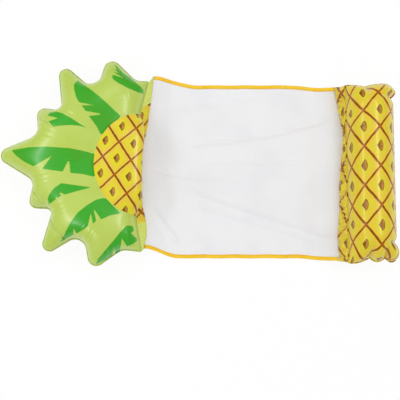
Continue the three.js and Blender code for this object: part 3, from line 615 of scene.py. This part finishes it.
def lattice_places(flat, node, cell, turn=0.0):
    """Places in the lattice, whose lines are where either number is whole: the flat place from a node, turned,
    over the cell's width plus and minus over its height."""
    across, along = turned(*np.moveaxis(flat - node, -1, 0), -turn)
    across, along = across / cell[0], along / cell[1]
    return joined(across + along, across - along)


lattice = lattice_places(joined(flat_x, plan[:, 1]), head_node, head_cell, head_lattice_turn)
add_map(head_cushion, "lattice", both_films(lattice, head_loop))


def fruit_print():
    """Printed fruit skin. Lines lie where either lattice number is whole, a little wavy and darker one way; an
    eye stands in each cell, its left side two straight cuts and its right side half an ellipse."""
    line_widths, line_edge, node_radius = (0.052, 0.043), (0.8, 1.1), 0.062
    eye_height, eye_left, eye_right, eye_edge = 0.15, 0.12, 0.1, 0.12
    tree = bpy.data.node_groups.new("fruit_print", "ShaderNodeTree")
    for name, way, kind in (("Lattice", "INPUT", "Vector"), ("Skin", "INPUT", "Color"), ("Color", "OUTPUT", "Color")):
        tree.interface.new_socket(name, in_out=way, socket_type="NodeSocket" + kind)
    given, result = tree.nodes.new("NodeGroupInput").outputs, tree.nodes.new("NodeGroupOutput").inputs
    shift = put(tree, "VectorMath", {0: noise(tree, 38, 1)["Color"], 1: (0.5, 0.5, 0.5)}, operation="SUBTRACT")
    wavy = put(tree, "VectorMath", {0: shift.outputs[0], 1: (0.05, 0.05, 0), 2: given["Lattice"]},
               operation="MULTIPLY_ADD").outputs[0]
    parts = put(tree, "SeparateXYZ", {0: wavy}).outputs
    middle = [calc(tree, "-", ("FRACT", parts[axis]), 0.5) for axis in ("X", "Y")]
    from_line = [calc(tree, "-", 0.5, ("ABSOLUTE", share)) for share in middle]
    mottle, streak = noise(tree, 55, 4)[0], noise(tree, 140, 3)[0]
    inside = calc(tree, "+", ("MINIMUM", *from_line), ("*", ("-", mottle, 0.5), 0.35))
    skin = tinted(tree, rising(tree, inside, 0.06, 0.3), paint(238, 204, 62), given["Skin"])
    skin = tinted(tree, calc(tree, "*", rising(tree, mottle, 0.55, 0.75), 0.4), skin, paint(236, 218, 60))
    lines = [calc(tree, "-", 1.0, rising(tree, gap, width * line_edge[0], width * line_edge[1]))
             for gap, width in zip(from_line, line_widths)]
    brown = mottled(tree, streak, 0.3, 0.7, (132, 70, 0), (160, 94, 0))
    skin = tinted(tree, lines[1], skin, tinted(tree, 0.15, brown, paint(184, 116, 10)))
    skin = tinted(tree, lines[0], skin, brown)
    near_node = calc(tree, "+", *[("^", ("/", gap, node_radius), 2.0) for gap in from_line])
    skin = tinted(tree, rising(tree, near_node, 1.3, 0.5), skin, paint(190, 86, 20))

    across, along = (calc(tree, sign, *[("*", share, 0.5) for share in middle]) for sign in "+-")
    height = calc(tree, "/", ("ABSOLUTE", along), eye_height)
    left = ("+", ("/", across, eye_left), ("-", 1.0, height))
    right = ("-", 1.0, ("+", ("^", ("/", ("ABSOLUTE", across), eye_right), 2.0),
                               ("^", height, 2.0)))
    right = ("MAXIMUM", right, ("*", ("LESS_THAN", across, 0.0), 5.0))
    eye = calc(tree, "MINIMUM", left, right)
    lit_side = calc(tree, "+", across, ("*", ("-", streak, 0.5), 0.09))
    core = calc(tree, "*", rising(tree, eye, 0.2, 0.35), rising(tree, lit_side, -0.022, 0.012))
    seed = mottled(tree, streak, 0.42, 0.62, (200, 144, 60), (176, 116, 40))
    eye_paint = tinted(tree, core, paint(136, 84, 6), seed)
    tree.links.new(tinted(tree, rising(tree, eye, 0.0, eye_edge), skin, eye_paint), result[0])
    return tree


fruit_group = fruit_print()


def fruit_paint(tree, skin):
    """The fruit print on a skin of one paint, over the piece's own lattice map."""
    lattice = put(tree, "UVMap", uv_map="lattice").outputs[0]
    return put(tree, "Group", {"Lattice": lattice, "Skin": paint(*skin)}, node_tree=fruit_group).outputs[0]


def read(tree, name):
    """A number that the mesh carries at its points."""
    return put(tree, "Attribute", attribute_name=name).outputs["Fac"]


def film_bump(tree):
    """The film's own faint orange-peel surface as a normal."""
    return bumped(tree, noise(tree, 90, 2)[0], 0.12, 1 * mm)


film_shine = {"Coat Roughness": 0.15, "Coat Weight": 0.2}
print_edge, blade_edge, groove_shade_width = 0.8 * mm, 1.2 * mm, 9 * mm

head_print, tree = new_material("printed_crown_film")
cloud, fruit = noise(tree, 9, 3)[0], read(tree, "fruit")
leaf = mottled(tree, cloud, 0.35, 0.7, (195, 217, 100), (188, 211, 87))
dark = mottled(tree, cloud, 0.4, 0.65, (64, 178, 42), (72, 172, 32))
# Painted shade: within a few millimetres of the fruit the dark blades turn darker green, for the groove along the tie
# strip falling into shade.
groove_shade = calc(tree, "*", rising(tree, fruit, -groove_shade_width, 0.0), 0.7)
dark = tinted(tree, groove_shade, dark, paint(46, 146, 26))
green = tinted(tree, rising(tree, read(tree, "blade"), -blade_edge, blade_edge), leaf, dark)
in_fruit = rising(tree, fruit, -print_edge, print_edge)
principled(tree, tinted(tree, in_fruit, green, fruit_paint(tree, (232, 220, 26))), 0.29, film_bump(tree), film_shine)

plain_film, tree = new_material("plain_yellow_film")
plain = mottled(tree, noise(tree, 12, 3)[0], 0.35, 0.7, (236, 224, 104), (230, 216, 92))
principled(tree, plain, 0.3, film_bump(tree), film_shine)

head_cushion.data.materials.append(head_print)
head_cushion.data.materials.append(plain_film)
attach(head_cushion, "head_cushion")
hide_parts("head_top_film", "head_bottom_film")

# Joining flap of the head
# A strip of the same film, welded under the seam on the net's side and sewn to the net. It goes on with the print,
# green at both ends and yellow between, and lies in small crumples.
flap_width, stitch_height = 27 * mm, 30 * mm
flap_drift, drift_growth = 18 * mm, 10 * mm
flap_slack = np.array([
    (-282, -19), (-274, -17), (-255, -6), (-231, 2), (-208, 3), (-184, 5), (-168, 0), (-140, -3), (-60, 0),
    (60, 0), (107, 7), (126, 6.6), (163, 5), (200, 3.5), (237, -1.6), (275, -8), (282, -10),
]) * mm
stitch_gap, flap_drop = 0.9 * mm, 0.3 * mm
flap_rows, flap_columns = 10, 190
flap_fruit_half_width = 194 * mm
head_crumple, head_crumple_length, head_weld_share, weld_tuck = 1.8 * mm, 24 * mm, 0.16, 1 * mm


def make_sheet(name, surface, rows, columns, order=1):
    """A piece from a surface given by shares along and across it, its faces' corners in order or reversed; with
    its points and the shares at them."""
    along, across = np.meshgrid(np.linspace(0, 1, rows + 1), np.linspace(0, 1, columns + 1), indexing="ij")
    faces = grid_faces(numbered(rows + 1, columns + 1))[:, ::order]
    points = surface(along, across)
    return make_piece(name, points, faces), points, along, across


def crumples(slope, y, length):
    """Sharp little folds across a flap: ridges |sin| of three spacings that wander and run aslant both ways, and
    fade at both edges."""
    fold = 0
    for lean, share, start in ((0.9, 1.0, 0.0), (-0.7, 0.7, 1.9), (0.2, 0.45, 4.0)):
        turn = math.pi * (y / (length * share) + lean * slope) + start
        fold = fold + share / 2 * (1 - 2 * np.abs(np.sin(turn + 1.3 * np.sin(turn / 2.7))))
    return fold * np.sin(math.pi * slope)


def smooth_marks(y, marks):
    """A line through marks (place, value), each value the mean over places near it."""
    reach = 9 * mm
    return np.mean([np.interp(y + step * reach, *marks.T) for step in (-2, -1, 0, 1, 2)], axis=0)


def head_edge(y):
    """The head's sewing line in its own frame, from the places of the seam that the flap hangs from."""
    return seam_x(y) + flap_width + smooth_marks(y, flap_slack), y + flap_drift + drift_growth * y / corner_reach


def head_flap_surface(along, across):
    """The head's flap in the shared frame: flat under the weld, then down and a little aside to the sewing line."""
    y = (across * 2 - 1) * corner_reach
    edge_x, edge_y = head_edge(y)
    slope = np.clip((along - head_weld_share) / (1 - head_weld_share), 0, 1)
    level = seam_level - film - flap_drop
    fold = head_crumple * crumples(slope, y, head_crumple_length)
    weld = seam_x(y) + weld_tuck
    x = weld + along * (edge_x - stitch_gap / 2 - weld) + fold
    return head_placed(joined(x, y + (edge_y - y) * slope, level + (stitch_height - level) * slope + fold))


def tube_faces(rings, size):
    """Faces round a tube whose closed rings of points are numbered ring by ring."""
    start, here = np.arange(rings - 1)[:, None] * size, np.arange(size)
    after = (here + 1) % size
    return joined(start + here, start + after, start + after + size, start + here + size).reshape(-1, 4)


def stitches(name, surface, along, count):
    """A row of short oval threads along a surface at one share of its width, sunk to about half their height."""
    length, thickness, corners = 2.6 * mm, 0.7 * mm, 6
    across, small = (np.arange(count) + 0.5) / count, 0.002
    places = surface(np.full(count, along), across)
    ahead = surface(np.full(count, along), across + small) - places
    aside = surface(np.full(count, along - small * 4), across) - places
    ahead, up = unit(ahead), unit(np.cross(ahead, aside))
    up *= np.sign(up[:, 2:])
    turns = np.arange(corners) * 2 * math.pi / corners
    radii = np.array([0.05, 1, 1, 0.05])[:, None] * thickness / 2
    stations = np.repeat(np.array([-1, -0.6, 0.6, 1]) * length / 2, corners)
    local = joined(stations, (radii * np.cos(turns)).ravel(), (radii * np.sin(turns)).ravel())
    frames = np.stack([ahead, np.cross(up, ahead), up], axis=1)
    points = (places + up * thickness * 0.6)[:, None] + np.einsum("mk,nkj->nmj", local, frames)
    caps = np.array([np.arange(corners)[::-1], 3 * corners + np.arange(corners)])
    offsets = np.arange(count)[:, None, None] * len(local)
    return make_piece(name, points, (tube_faces(4, corners) + offsets).reshape(-1, 4),
                      (caps + offsets).reshape(-1, corners))


def finish_flap(flap, lattice, fruit):
    """A joining flap's lattice map, how far each point is inside the fruit, its look and its thickness."""
    add_map(flap, "lattice", lattice)
    add_attribute(flap, "fruit", fruit)
    flap.data.materials.append(flap_print)
    solid = flap.modifiers.new("film", "SOLIDIFY")
    solid.thickness, solid.offset = film, -1


flap_print, tree = new_material("printed_flap_film")
in_fruit = rising(tree, read(tree, "fruit"), -print_edge, print_edge)
film_paint = tinted(tree, in_fruit, paint(224, 238, 116), fruit_paint(tree, (240, 224, 40)))
principled(tree, film_paint, 0.3, film_bump(tree), film_shine)

head_flap, _, along, across = make_sheet("head_flap_film", head_flap_surface, flap_rows, flap_columns)
y = (across * 2 - 1) * corner_reach
flat = joined(seam_x(y) + along * flap_width, y)
finish_flap(head_flap, lattice_places(flat, head_node, head_cell, head_lattice_turn),
            flap_fruit_half_width - np.abs(y))
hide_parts("head_flap")

# Net
# One sheet of fine white knitted net, 0.65 by 0.59 metres, sewn to both flaps. It lies on the floor between them
# in shallow wrinkles and climbs to the sewing lines. It is cut at two places where both parts ride on one half.
net_half_width, net_y, net_head_inset = 294 * mm, -9.5 * mm, 2 * mm
net_foot_low, net_foot_high = -313 * mm, 270 * mm
head_relax, foot_relax, climb_length = (110 * mm, 150 * mm), 150 * mm, 80 * mm
net_overlap, net_under, under_ramp, head_under_slope, foot_under_slope = 5 * mm, 1.6 * mm, 1 * mm, 0.7, 1.5
tape, fit, net_thickness = 0.5 * mm, 0.3 * mm, 0.8 * mm
foot_stitch_x = 635 * mm
zone_names, net_zone_ends = ("head", "middle", "foot"), (190 * mm, 470 * mm)
net_columns, net_row_length = 180, 3.2 * mm
wave_height, wrinkle_taper, wrinkle_level = 0.9 * mm, 40 * mm, 3 * mm
edge_flat, edge_fade, foot_flat, foot_fade, head_fade = 16 * mm, 40 * mm, 6 * mm, 30 * mm, 40 * mm
foot_stitch_marks = np.array([
    (-322, 632.6), (-304, 634.3), (-258, 631.5), (-233, 628.7), (-201, 634.9), (-141, 639.6), (-95, 638.2),
    (-61, 640.1), (13, 648.2), (60, 651.5), (103, 656.6), (146, 646.7), (190, 638.8), (234, 631.1), (271, 622.7),
]) * mm
# Each wrinkle's height and width in millimetres, and the line where it is seen in the picture.
wrinkles = [(height * mm, width * mm, on_level(line, wrinkle_level)) for height, width, line in (
    (6.6, 7, [(352, 116), (332.8, 120.3), (293.5, 129.7), (281, 133.7), (263.6, 136.8), (240, 140),
              (227.5, 142.6), (200.7, 143.9), (183.5, 146.3)]),
    (5, 7, [(148, 168.3), (169, 174.6), (193, 178.5), (230, 178.5)]),
    (6.6, 6, [(183.5, 184.8), (200.7, 194.2), (224.3, 202.9), (248, 209.9), (271.5, 218.6), (295, 225.7),
              (310.8, 231.2), (329.7, 235.9), (348, 241)]),
    (4, 6, [(175, 201), (212, 211), (240, 219), (281, 231), (322, 244)]),
    (3.6, 6, [(190, 164), (240, 162.5), (270, 163), (312, 163)]),
    (3.4, 7, [(168, 107.7), (224, 106), (264, 95)]),
    (11, 12, [(141, 200), (149, 207), (157, 216), (178, 243), (186, 252)]),
)]


def wrinkle_lift(x, y):
    """The net's height from its wrinkles: a bell across each line, and slow waves, fading at the edges."""
    lift, here = np.zeros_like(x), joined(x, y)
    for height, width, line in wrinkles:
        from_end = np.minimum(length_of(here - line[0]), length_of(here - line[-1]))
        taper = 1 - bell(from_end, wrinkle_taper)
        lift = np.maximum(lift, taper * height * bell(line_distance(here, line), width))
    slow = (1 + np.sin(y / (21 * mm) + 2 * np.sin(x / (90 * mm)))) * (0.6 + 0.4 * np.sin(x / (60 * mm)))
    edge = np.clip((net_half_width - edge_flat - np.abs(y - net_y)) / edge_fade, 0, 1)
    ends = np.clip((foot_stitch_x - x - foot_flat) / foot_fade, 0, 1) * np.clip(x / head_fade, 0, 1)
    return (lift + wave_height * slow) * edge * ends


def eased(distance, length):
    """Half a cosine wave from 1 at nothing to 0 at a length."""
    return (1 + np.cos(math.pi * np.clip(distance / length, 0, 1))) / 2


def head_stitch(across):
    """The head's sewing line in the layout, at a share of the net's width."""
    y = -corner_reach + net_head_inset + across * (2 * corner_reach - net_head_inset)
    return turned(*head_edge(y), head_yaw)


def foot_stitch(across):
    """The foot's sewing line in the layout, at a share of the net's width."""
    y = net_foot_low + (net_foot_high - net_foot_low) * across
    return smooth_marks(y, foot_stitch_marks), y


def net_points(x, across):
    """The net in the layout: its width goes over from the head's sewing line to the plain middle and on to the
    foot's line by half cosine waves, its height climbs towards both lines, and its ends go on under the flaps."""
    (x0, y0), (x1, y1) = head_stitch(across), foot_stitch(across)
    far = net_y - net_half_width + 2 * net_half_width * across
    low, high = head_relax
    y = far + (y0 - far) * eased(x - x0, low + (high - low) * across) + (y1 - far) * eased(x1 - x, foot_relax)
    base = tape + fit + net_thickness
    rise = (stitch_height - base) * (eased(x - x0, climb_length) + eased(x1 - x, climb_length))
    under_head, under_foot = np.maximum(x0 - x, 0), np.maximum(x - x1, 0)
    rise += under_head * head_under_slope + under_foot * foot_under_slope
    rise -= net_under * np.minimum((under_head + under_foot) / under_ramp, 1)
    return joined(x, y, base + rise + wrinkle_lift(x, y))


def zone_x(zone, along, across, overlap=net_overlap):
    """The layout's x at a share along one of the net's three zones."""
    starts = (head_stitch(across)[0] - overlap, *net_zone_ends)
    ends = (*net_zone_ends, foot_stitch(across)[0] + overlap)
    return starts[zone] + (ends[zone] - starts[zone]) * along


net_pitch, hole_radius, yarn_radius = 2.4 * mm, 0.24, 0.3
net_material, tree = new_material("white_net")
flat_map = put(tree, "UVMap", uv_map="net").outputs[0]
pitch = put(tree, "VectorMath", {0: flat_map, 1: (1 / net_pitch, 1 / net_pitch, 0)}, operation="MULTIPLY")
parts = put(tree, "SeparateXYZ", {0: pitch.outputs[0]}).outputs
shifted = ("+", parts["X"], ("*", ("FLOOR", parts["Y"]), 0.5))
squares = [("^", ("ABSOLUTE", ("-", ("FRACT", part), 0.5)), 2.0)
           for part in (calc(tree, *shifted), parts["Y"])]
yarn = rising(tree, calc(tree, "SQRT", ("+", *squares)), hole_radius, yarn_radius)
yarn_paint = mottled(tree, noise(tree, 7, 3)[0], 0.4, 0.7, (238, 238, 241), (232, 232, 236))
# Painted shade: where the "shade" number is high, near both flaps, the yarn is tinted warm grey-brown for the flaps'
# shadow and the colour they cast on the net.
yarn_paint = tinted(tree, read(tree, "shade"), yarn_paint, paint(206, 194, 178))
principled(tree, yarn_paint, 0.75, bumped(tree, yarn, 0.4, 0.4 * mm), {"Alpha": yarn, "Sheen Weight": 0.2})

# The painted shade on the net fades away from each sewing line: its strength at the line and how fast it fades.
head_shade, head_shade_length, foot_shade, foot_shade_length = 0.2, 30 * mm, 0.75, 26 * mm
net_zones = []
net_ends = [zone_x(zone, share, np.linspace(0, 1, net_columns + 1), 0) for zone, share in ((0, 0), (2, 1))]
for zone, nodes in enumerate((["net_head_panel"], ["net_head_panel", "net_foot_panel"], ["net_foot_panel"])):
    rows = round(float(zone_x(zone, 1, 0.5) - zone_x(zone, 0, 0.5)) / net_row_length)
    net, points, along, across = make_sheet(
        f"net_{zone_names[zone]}",
        lambda along, across: net_points(zone_x(zone, along, across), across) + origin, rows, net_columns)
    x, y, _ = np.moveaxis(points - origin, -1, 0)
    add_map(net, "net", joined(x, y))
    shade = (head_shade * np.exp((net_ends[0] - x) / head_shade_length)
             + foot_shade * np.exp((x - net_ends[1]) / foot_shade_length))
    add_attribute(net, "shade", np.minimum(shade, 1))
    net.data.materials.append(net_material)
    length = float(np.mean(zone_x(zone, 1, across) - zone_x(zone, 0, across)))
    net_zones.append([net, length, nodes])

# Bindings of the net
# A yellow woven tape folded over each long edge and sewn through with one row of stitches near its inner edge.
binding_width, stitch_pitch, station_length = 12 * mm, 3.8 * mm, 4 * mm
tape_wave, tape_wave_length, stitch_inset, inward_share, fold_depth = 0.5 * mm, 17 * mm, 9 * mm, 1 / 60, 0.75
head_end_gap, foot_end_gaps = 0.2 * mm, {"right": -5 * mm, "left": 0.2 * mm}


def binding_section():
    """The tape's section, outwards and up from the net's edge: a thin U with a round outer fold."""
    turns = np.linspace(-math.pi / 2, math.pi / 2, 7)
    middle, gap = -net_thickness / 2, net_thickness / 2 + fit
    outer, inner = (joined(np.cos(turns) * radius * fold_depth, middle + np.sin(turns) * radius)
                    for radius in (gap + tape, gap))
    far = [(-binding_width, middle + height) for height in (gap + tape, gap, -gap, -gap - tape)]
    return np.concatenate([
        outer, np.linspace(outer[-1], far[0], 5)[1:], np.linspace(far[1], inner[-1], 5)[:-1],
        inner[::-1], np.linspace(inner[0], far[2], 5)[1:], np.linspace(far[3], outer[0], 5)[:-1],
    ])


tape_material, tree = new_material("yellow_tape")
place = put(tree, "TexCoord").outputs["Object"]
ribs, threads = (put(tree, "TexWave", {"Vector": place, "Scale": scale, "Distortion": wander, "Detail": detail},
                     bands_direction=way).outputs[1]
                 for scale, wander, detail, way in ((260, 1.2, 2, "X"), (300, 0.8, 1, "Y")))
weave = calc(tree, "*", ribs, threads)
tape_paint = mottled(tree, noise(tree, 22, 3)[0], 0.35, 0.7, (252, 207, 52), (250, 196, 34))
# Painted highlight: the tape is tinted paler where the weave's ribs and threads stand up.
tape_paint = tinted(tree, calc(tree, "*", weave, 0.35), tape_paint, paint(255, 220, 84))
principled(tree, tape_paint, 0.68, bumped(tree, weave, 0.6, 0.3 * mm), {"Specular IOR Level": 0.2})

thread_material, tree = new_material("yellow_thread")
place = put(tree, "TexCoord").outputs["Object"]
twist = put(tree, "TexWave", {"Vector": place, "Scale": 900, "Distortion": 2}, bands_direction="DIAGONAL").outputs[1]
thread_paint = tinted(tree, twist, paint(222, 164, 40), paint(240, 196, 84))
principled(tree, thread_paint, 0.6, bumped(tree, twist, 0.5, 0.1 * mm), {})

section = binding_section()


def make_binding(side, edge, zone):
    """One zone's tape on an edge of the net, and its stitches. The section is carried along stations on the edge:
    each point is the station plus outwards times the way out, plus up; the ends are closed."""
    start, end = (zone_x(zone, share, np.array(edge), 0) for share in (0.0, 1.0))
    start += head_end_gap * (zone == 0)
    end -= foot_end_gaps[side] * (zone == 2)
    x = np.linspace(start, end, round((end - start) / station_length))
    places = net_points(x, np.full_like(x, edge))
    out = places - net_points(x, np.full_like(x, edge + (1 - 2 * edge) * inward_share))
    out /= length_of(out[:, :2])[:, None]
    places[:, 1] += tape_wave * np.sin(x / tape_wave_length + edge) * np.sign(out[:, 1])
    points = places[:, None] + section[:, :1] * out[:, None]
    points[..., 2] += section[:, 1]
    ring = np.arange(len(section))
    caps = np.array([ring[::-1], ring + (len(places) - 1) * len(section)])
    binding = make_piece(f"tape_{side}_{zone_names[zone]}", points + origin,
                         tube_faces(len(places), len(section)), caps)
    binding.data.materials.append(tape_material)
    run = run_along(places)

    def tape_top(along, share):
        """The tape's upper face: along it by a share of its length, and inwards by a share of its width."""
        inner = places - out * along[0] * binding_width
        spots = joined(*(np.interp(share * run[-1], run, part) for part in inner.T))
        return spots + origin + [0, 0, fit + tape]

    row = stitches(f"tape_stitches_{side}_{zone_names[zone]}", tape_top, stitch_inset / binding_width,
                   int(run[-1] / stitch_pitch))
    row.data.materials.append(thread_material)
    return binding, row


for side, edge in (("right", 1.0), ("left", 0.0)):
    for zone, halves in enumerate((["head"], ["head", "foot"], ["foot"])):
        binding, row = make_binding(side, edge, zone)
        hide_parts(*[f"binding_{side}_{half}" for half in halves])
        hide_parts(*[f"binding_thread_{side}_{half}" for half in halves])
        net_zones[zone] += [binding, row]

# Foot bolster
# Two sheets of printed PVC welded round a long rectangle and blown up to a round roll. Its ends are gathered into
# lobes with short creases between them.
foot_length, foot_half_width, foot_seam_level = 560 * mm, 76 * mm, 72 * mm
foot_rise, foot_depth = 82 * mm, 77 * mm
foot_end_taper, foot_middle, foot_corner, flap_span = 72 * mm, 6 * mm, 24 * mm, 26 * mm
foot_x = foot_stitch_x + flap_span + foot_half_width
foot_rows, foot_columns = 230, 84
foot_valve = np.array([0, 140]) * mm
cusp_depth, cusp_length, cusp_width, cusp_spread = 8 * mm, 30 * mm, 5 * mm, 0.12
corner_swell, corner_place, corner_width = 9 * mm, 16 * mm, 14 * mm
notch_bite, notch_bite_width, notch_width, notch_fade = 8 * mm, 9 * mm, 7 * mm, 22 * mm
lobe_reach, lobe_fullness, relief_reach, relief_share = 20 * mm, 0.8, 26 * mm, 0.4
foot_pucker_height, pucker_place, pucker_width = 1.3 * mm, 24 * mm, 26 * mm
pucker_turns, pucker_wander, wander_length, gather_wander_length = 17, 2.2, 50 * mm, 17 * mm
gather_height, gather_fade, foot_wave_height, seam_wave_length = 3.2 * mm, 0.22, 0.7 * mm, 3.6 * mm
# Each end: its side, its notch's distance from it, and its lobes' borders across and bulges, in millimetres.
foot_ends = (
    (-1, 47, [-120, -10, 40, 94], [19, 14, 17]),
    (1, 38, [-110, -12, 98], [6, 10]),
)

reach = np.sin(math.pi / 2 * (2 * np.arange(foot_rows + 1) / foot_rows - 1))
reach, turn = np.meshgrid(reach, math.pi * np.arange(foot_columns + 1) / foot_columns, indexing="ij")
straight = foot_middle + reach * foot_length / 2
from_end = foot_length / 2 * (1 - np.abs(reach))
side = np.cos(turn)
outer_side = np.maximum(side, 0)
plan_x, plan_y = foot_half_width * side, straight.copy()
foot_relief, foot_crease = np.zeros_like(turn), np.zeros_like(turn)
for end, notch, cusps, bulges in foot_ends:
    notch, cusps, bulges = notch * mm, np.array(cusps) * mm, np.array(bulges) * mm
    here = reach * end > 0
    corner = corner_swell * bell(from_end - corner_place, corner_width)
    corner -= notch_bite * bell(from_end - notch, notch_bite_width)
    plan_x += here * corner * outer_side
    inner = np.maximum(foot_corner - from_end, 0)
    plan_x -= here * outer_side * (foot_corner - np.sqrt(foot_corner ** 2 - inner ** 2))
    lobe = np.clip(np.searchsorted(cusps, plan_x, side="right") - 1, 0, len(bulges) - 1)
    share = np.clip((plan_x - cusps[lobe]) / (cusps[lobe + 1] - cusps[lobe]), 0, 1)
    swell = np.sin(math.pi * share) ** lobe_fullness
    plan_y += here * end * bulges[lobe] * swell * bell(from_end, lobe_reach)
    foot_relief += here * (swell - 0.5) * bell(from_end, relief_reach)
    for cusp in cusps[1:-1]:
        width = cusp_width + cusp_spread * from_end
        foot_crease += here * bell(plan_x - cusp, width) * np.exp(-from_end / cusp_length)
    foot_crease += (here * bell(from_end - notch, notch_width) * (side > 0)
                    * np.exp(-(foot_half_width - plan_x) / notch_fade))
into = np.maximum((foot_end_taper - from_end) / foot_end_taper, 0)
round_share = np.sqrt(np.maximum(1 - into ** 2, 0))
foot_shape = np.sin(turn) * round_share * (1 + relief_share * foot_relief)
foot_pucker = np.cos(turn * pucker_turns + pucker_wander * np.sin(straight / wander_length))
foot_pucker = foot_pucker_height * foot_pucker * np.sin(turn)
foot_pucker *= bell(from_end - pucker_place, pucker_width)
foot_pucker -= cusp_depth * foot_crease * np.minimum(foot_shape * 3, 1)
seam_gather = (gather_height * np.cos(straight / seam_wave_length + np.sin(straight / gather_wander_length))
               * np.exp(-np.minimum(turn, math.pi - turn) / gather_fade) * np.sin(turn))
foot_top = joined(plan_x, plan_y,
                  foot_seam_level + film + foot_rise * foot_shape + foot_pucker + seam_gather)
foot_bottom = joined(plan_x, plan_y,
                     np.maximum(foot_seam_level - film - foot_depth * foot_shape - foot_pucker, 0))
foot_numbers = numbered(foot_rows + 1, foot_columns + 1)
foot_loop = np.concatenate([foot_numbers[:-1, 0], foot_numbers[-1, :-1], foot_numbers[:0:-1, -1],
                            foot_numbers[0, :0:-1]])
foot_wave = foot_wave_height * np.cos(plan_y.ravel()[foot_loop] / seam_wave_length)
foot_origin = origin + [foot_x, foot_y, 0]
bolster, _ = closed_skin(
    "foot_bolster_skin", foot_top.reshape(-1, 3), foot_bottom.reshape(-1, 3), grid_faces(foot_numbers),
    np.zeros((0, 3), int), foot_loop, foot_wave, foot_valve, lambda points: points + foot_origin)

# The lattice goes round the roll and down over its ends: across it is the length round the middle section from the
# inner seam, and along it the length of the film from the middle section. Near the ends the film is gathered, most
# of all beside the inner seam, so the print is drawn inwards there.
foot_cell = np.array([105, 127]) * mm
print_pull, seam_pull, pull_start, pull_length = 10 * mm, 12 * mm, 150 * mm, 56 * mm
middle_row = foot_rows // 2
round_run = run_along(foot_top[middle_row][:, [0, 2]])
long_run = run_along(foot_top[..., 1:])
long_run += plan_y[middle_row] - long_run[middle_row]
near_end = (1 - eased(np.abs(plan_y) - pull_start, pull_length)) * np.sign(plan_y)
long_run += near_end * (print_pull * (plan_y > 0) + seam_pull * np.maximum(-side, 0) ** 2)
foot_flat = joined(np.broadcast_to(round_run[-1] - round_run, long_run.shape), long_run).reshape(-1, 2)
foot_node = np.array([88 * mm, on_level([364, 145.5], 150 * mm)[1] - foot_y])
add_map(bolster, "lattice", both_films(lattice_places(foot_flat, foot_node, foot_cell), foot_loop))

foot_print, tree = new_material("printed_fruit_film")
warm_shine = {"Coat Roughness": 0.15, "Coat Weight": 0.28, "Coat Tint": (1.0, 0.95, 0.75, 1.0),
              "Specular Tint": (1.0, 0.92, 0.6, 1.0)}
principled(tree, fruit_paint(tree, (228, 214, 54)), 0.33, film_bump(tree), warm_shine)
bolster.data.materials.append(foot_print)
bolster.data.materials.append(plain_film)
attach(bolster, "foot_bolster")
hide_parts("foot_top_film", "foot_bottom_film")

# Joining flap of the foot
# A wider strip of the printed film between the bolster's inner seam and the net, slack and crumpled.
foot_flap_reach, foot_flap_drift, foot_flap_width = 293 * mm, 5 * mm, 50 * mm
foot_flap_rows, foot_flap_columns = 20, 330
foot_crumple, foot_crumple_length, foot_weld_share, fold_back, fold_up = 8 * mm, 32 * mm, 0.12, 0.85, 0.53


def foot_flap_surface(along, across):
    """The foot's flap in the shared frame: flat under the weld, then crumpled on its way to the sewing line."""
    y = foot_y + (across * 2 - 1) * foot_flap_reach
    slope = np.clip((along - foot_weld_share) / (1 - foot_weld_share), 0, 1)
    level = foot_seam_level - film - flap_drop
    weld = foot_x - foot_half_width - weld_tuck
    fold = foot_crumple * crumples(slope, y, foot_crumple_length)
    edge = smooth_marks(y, foot_stitch_marks) + stitch_gap / 2
    x = weld + along * (edge - weld) - fold_back * fold
    z = level + (stitch_height - level) * slope + fold_up * fold
    return joined(x, y + foot_flap_drift * slope, z) + origin


foot_flap, _, along, across = make_sheet(
    "foot_flap_film", foot_flap_surface, foot_flap_rows, foot_flap_columns, -1)
flat = joined(-along * foot_flap_width, (across * 2 - 1) * foot_flap_reach)
flap_node, flap_cell = foot_node + np.array([34, -9.5]) * mm, np.array([105, 124]) * mm
finish_flap(foot_flap, lattice_places(flat, flap_node, flap_cell, math.radians(5)), np.ones_like(across))
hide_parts("foot_flap")

# Sewing rows on the flaps
# One row of yellow thread holds the net to each flap, a few millimetres inside the flap's edge.
head_row_share, foot_row_share = 0.87, 0.93
head_row, foot_row = (
    stitches(name, surface, share, int(2 * reach / stitch_pitch)) for name, surface, share, reach in (
        ("head_sewing_stitches", head_flap_surface, head_row_share, corner_reach),
        ("foot_sewing_stitches", foot_flap_surface, foot_row_share, foot_flap_reach)))
for row, node in ((head_row, "head_sewing_thread"), (foot_row, "foot_sewing_thread")):
    row.data.materials.append(thread_material)
    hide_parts(node)


def bend(piece):
    """Bakes a piece's placement into its mesh."""
    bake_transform(piece)


for zone, (net, length, nodes, *trim) in enumerate(net_zones):
    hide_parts(*nodes)
    for piece in (net, *trim):
        bend(piece)
for piece, zone in ((head_flap, 0), (head_row, 0), (foot_flap, 2), (foot_row, 2)):
    bend(piece)

# Valves and tie strip
# Each chamber fills through a clear moulded PVC valve with a push-in stem, a plug on a strap and a check flap.
valve_material, tree = new_material("clear_valve")
cloud = noise(tree, 120, 2)[0]
valve_paint = mottled(tree, cloud, 0.3, 0.7, (222, 230, 230), (206, 218, 220))
principled(tree, valve_paint, 0.3, bumped(tree, cloud, 0.15, 0.2 * mm), {"Transmission Weight": 0.35, "IOR": 1.5})
for name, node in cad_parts.items():
    if "_valve_" in name or name == "head_tie_strip":
        node.data.materials.clear()
        node.data.materials.append(valve_material)
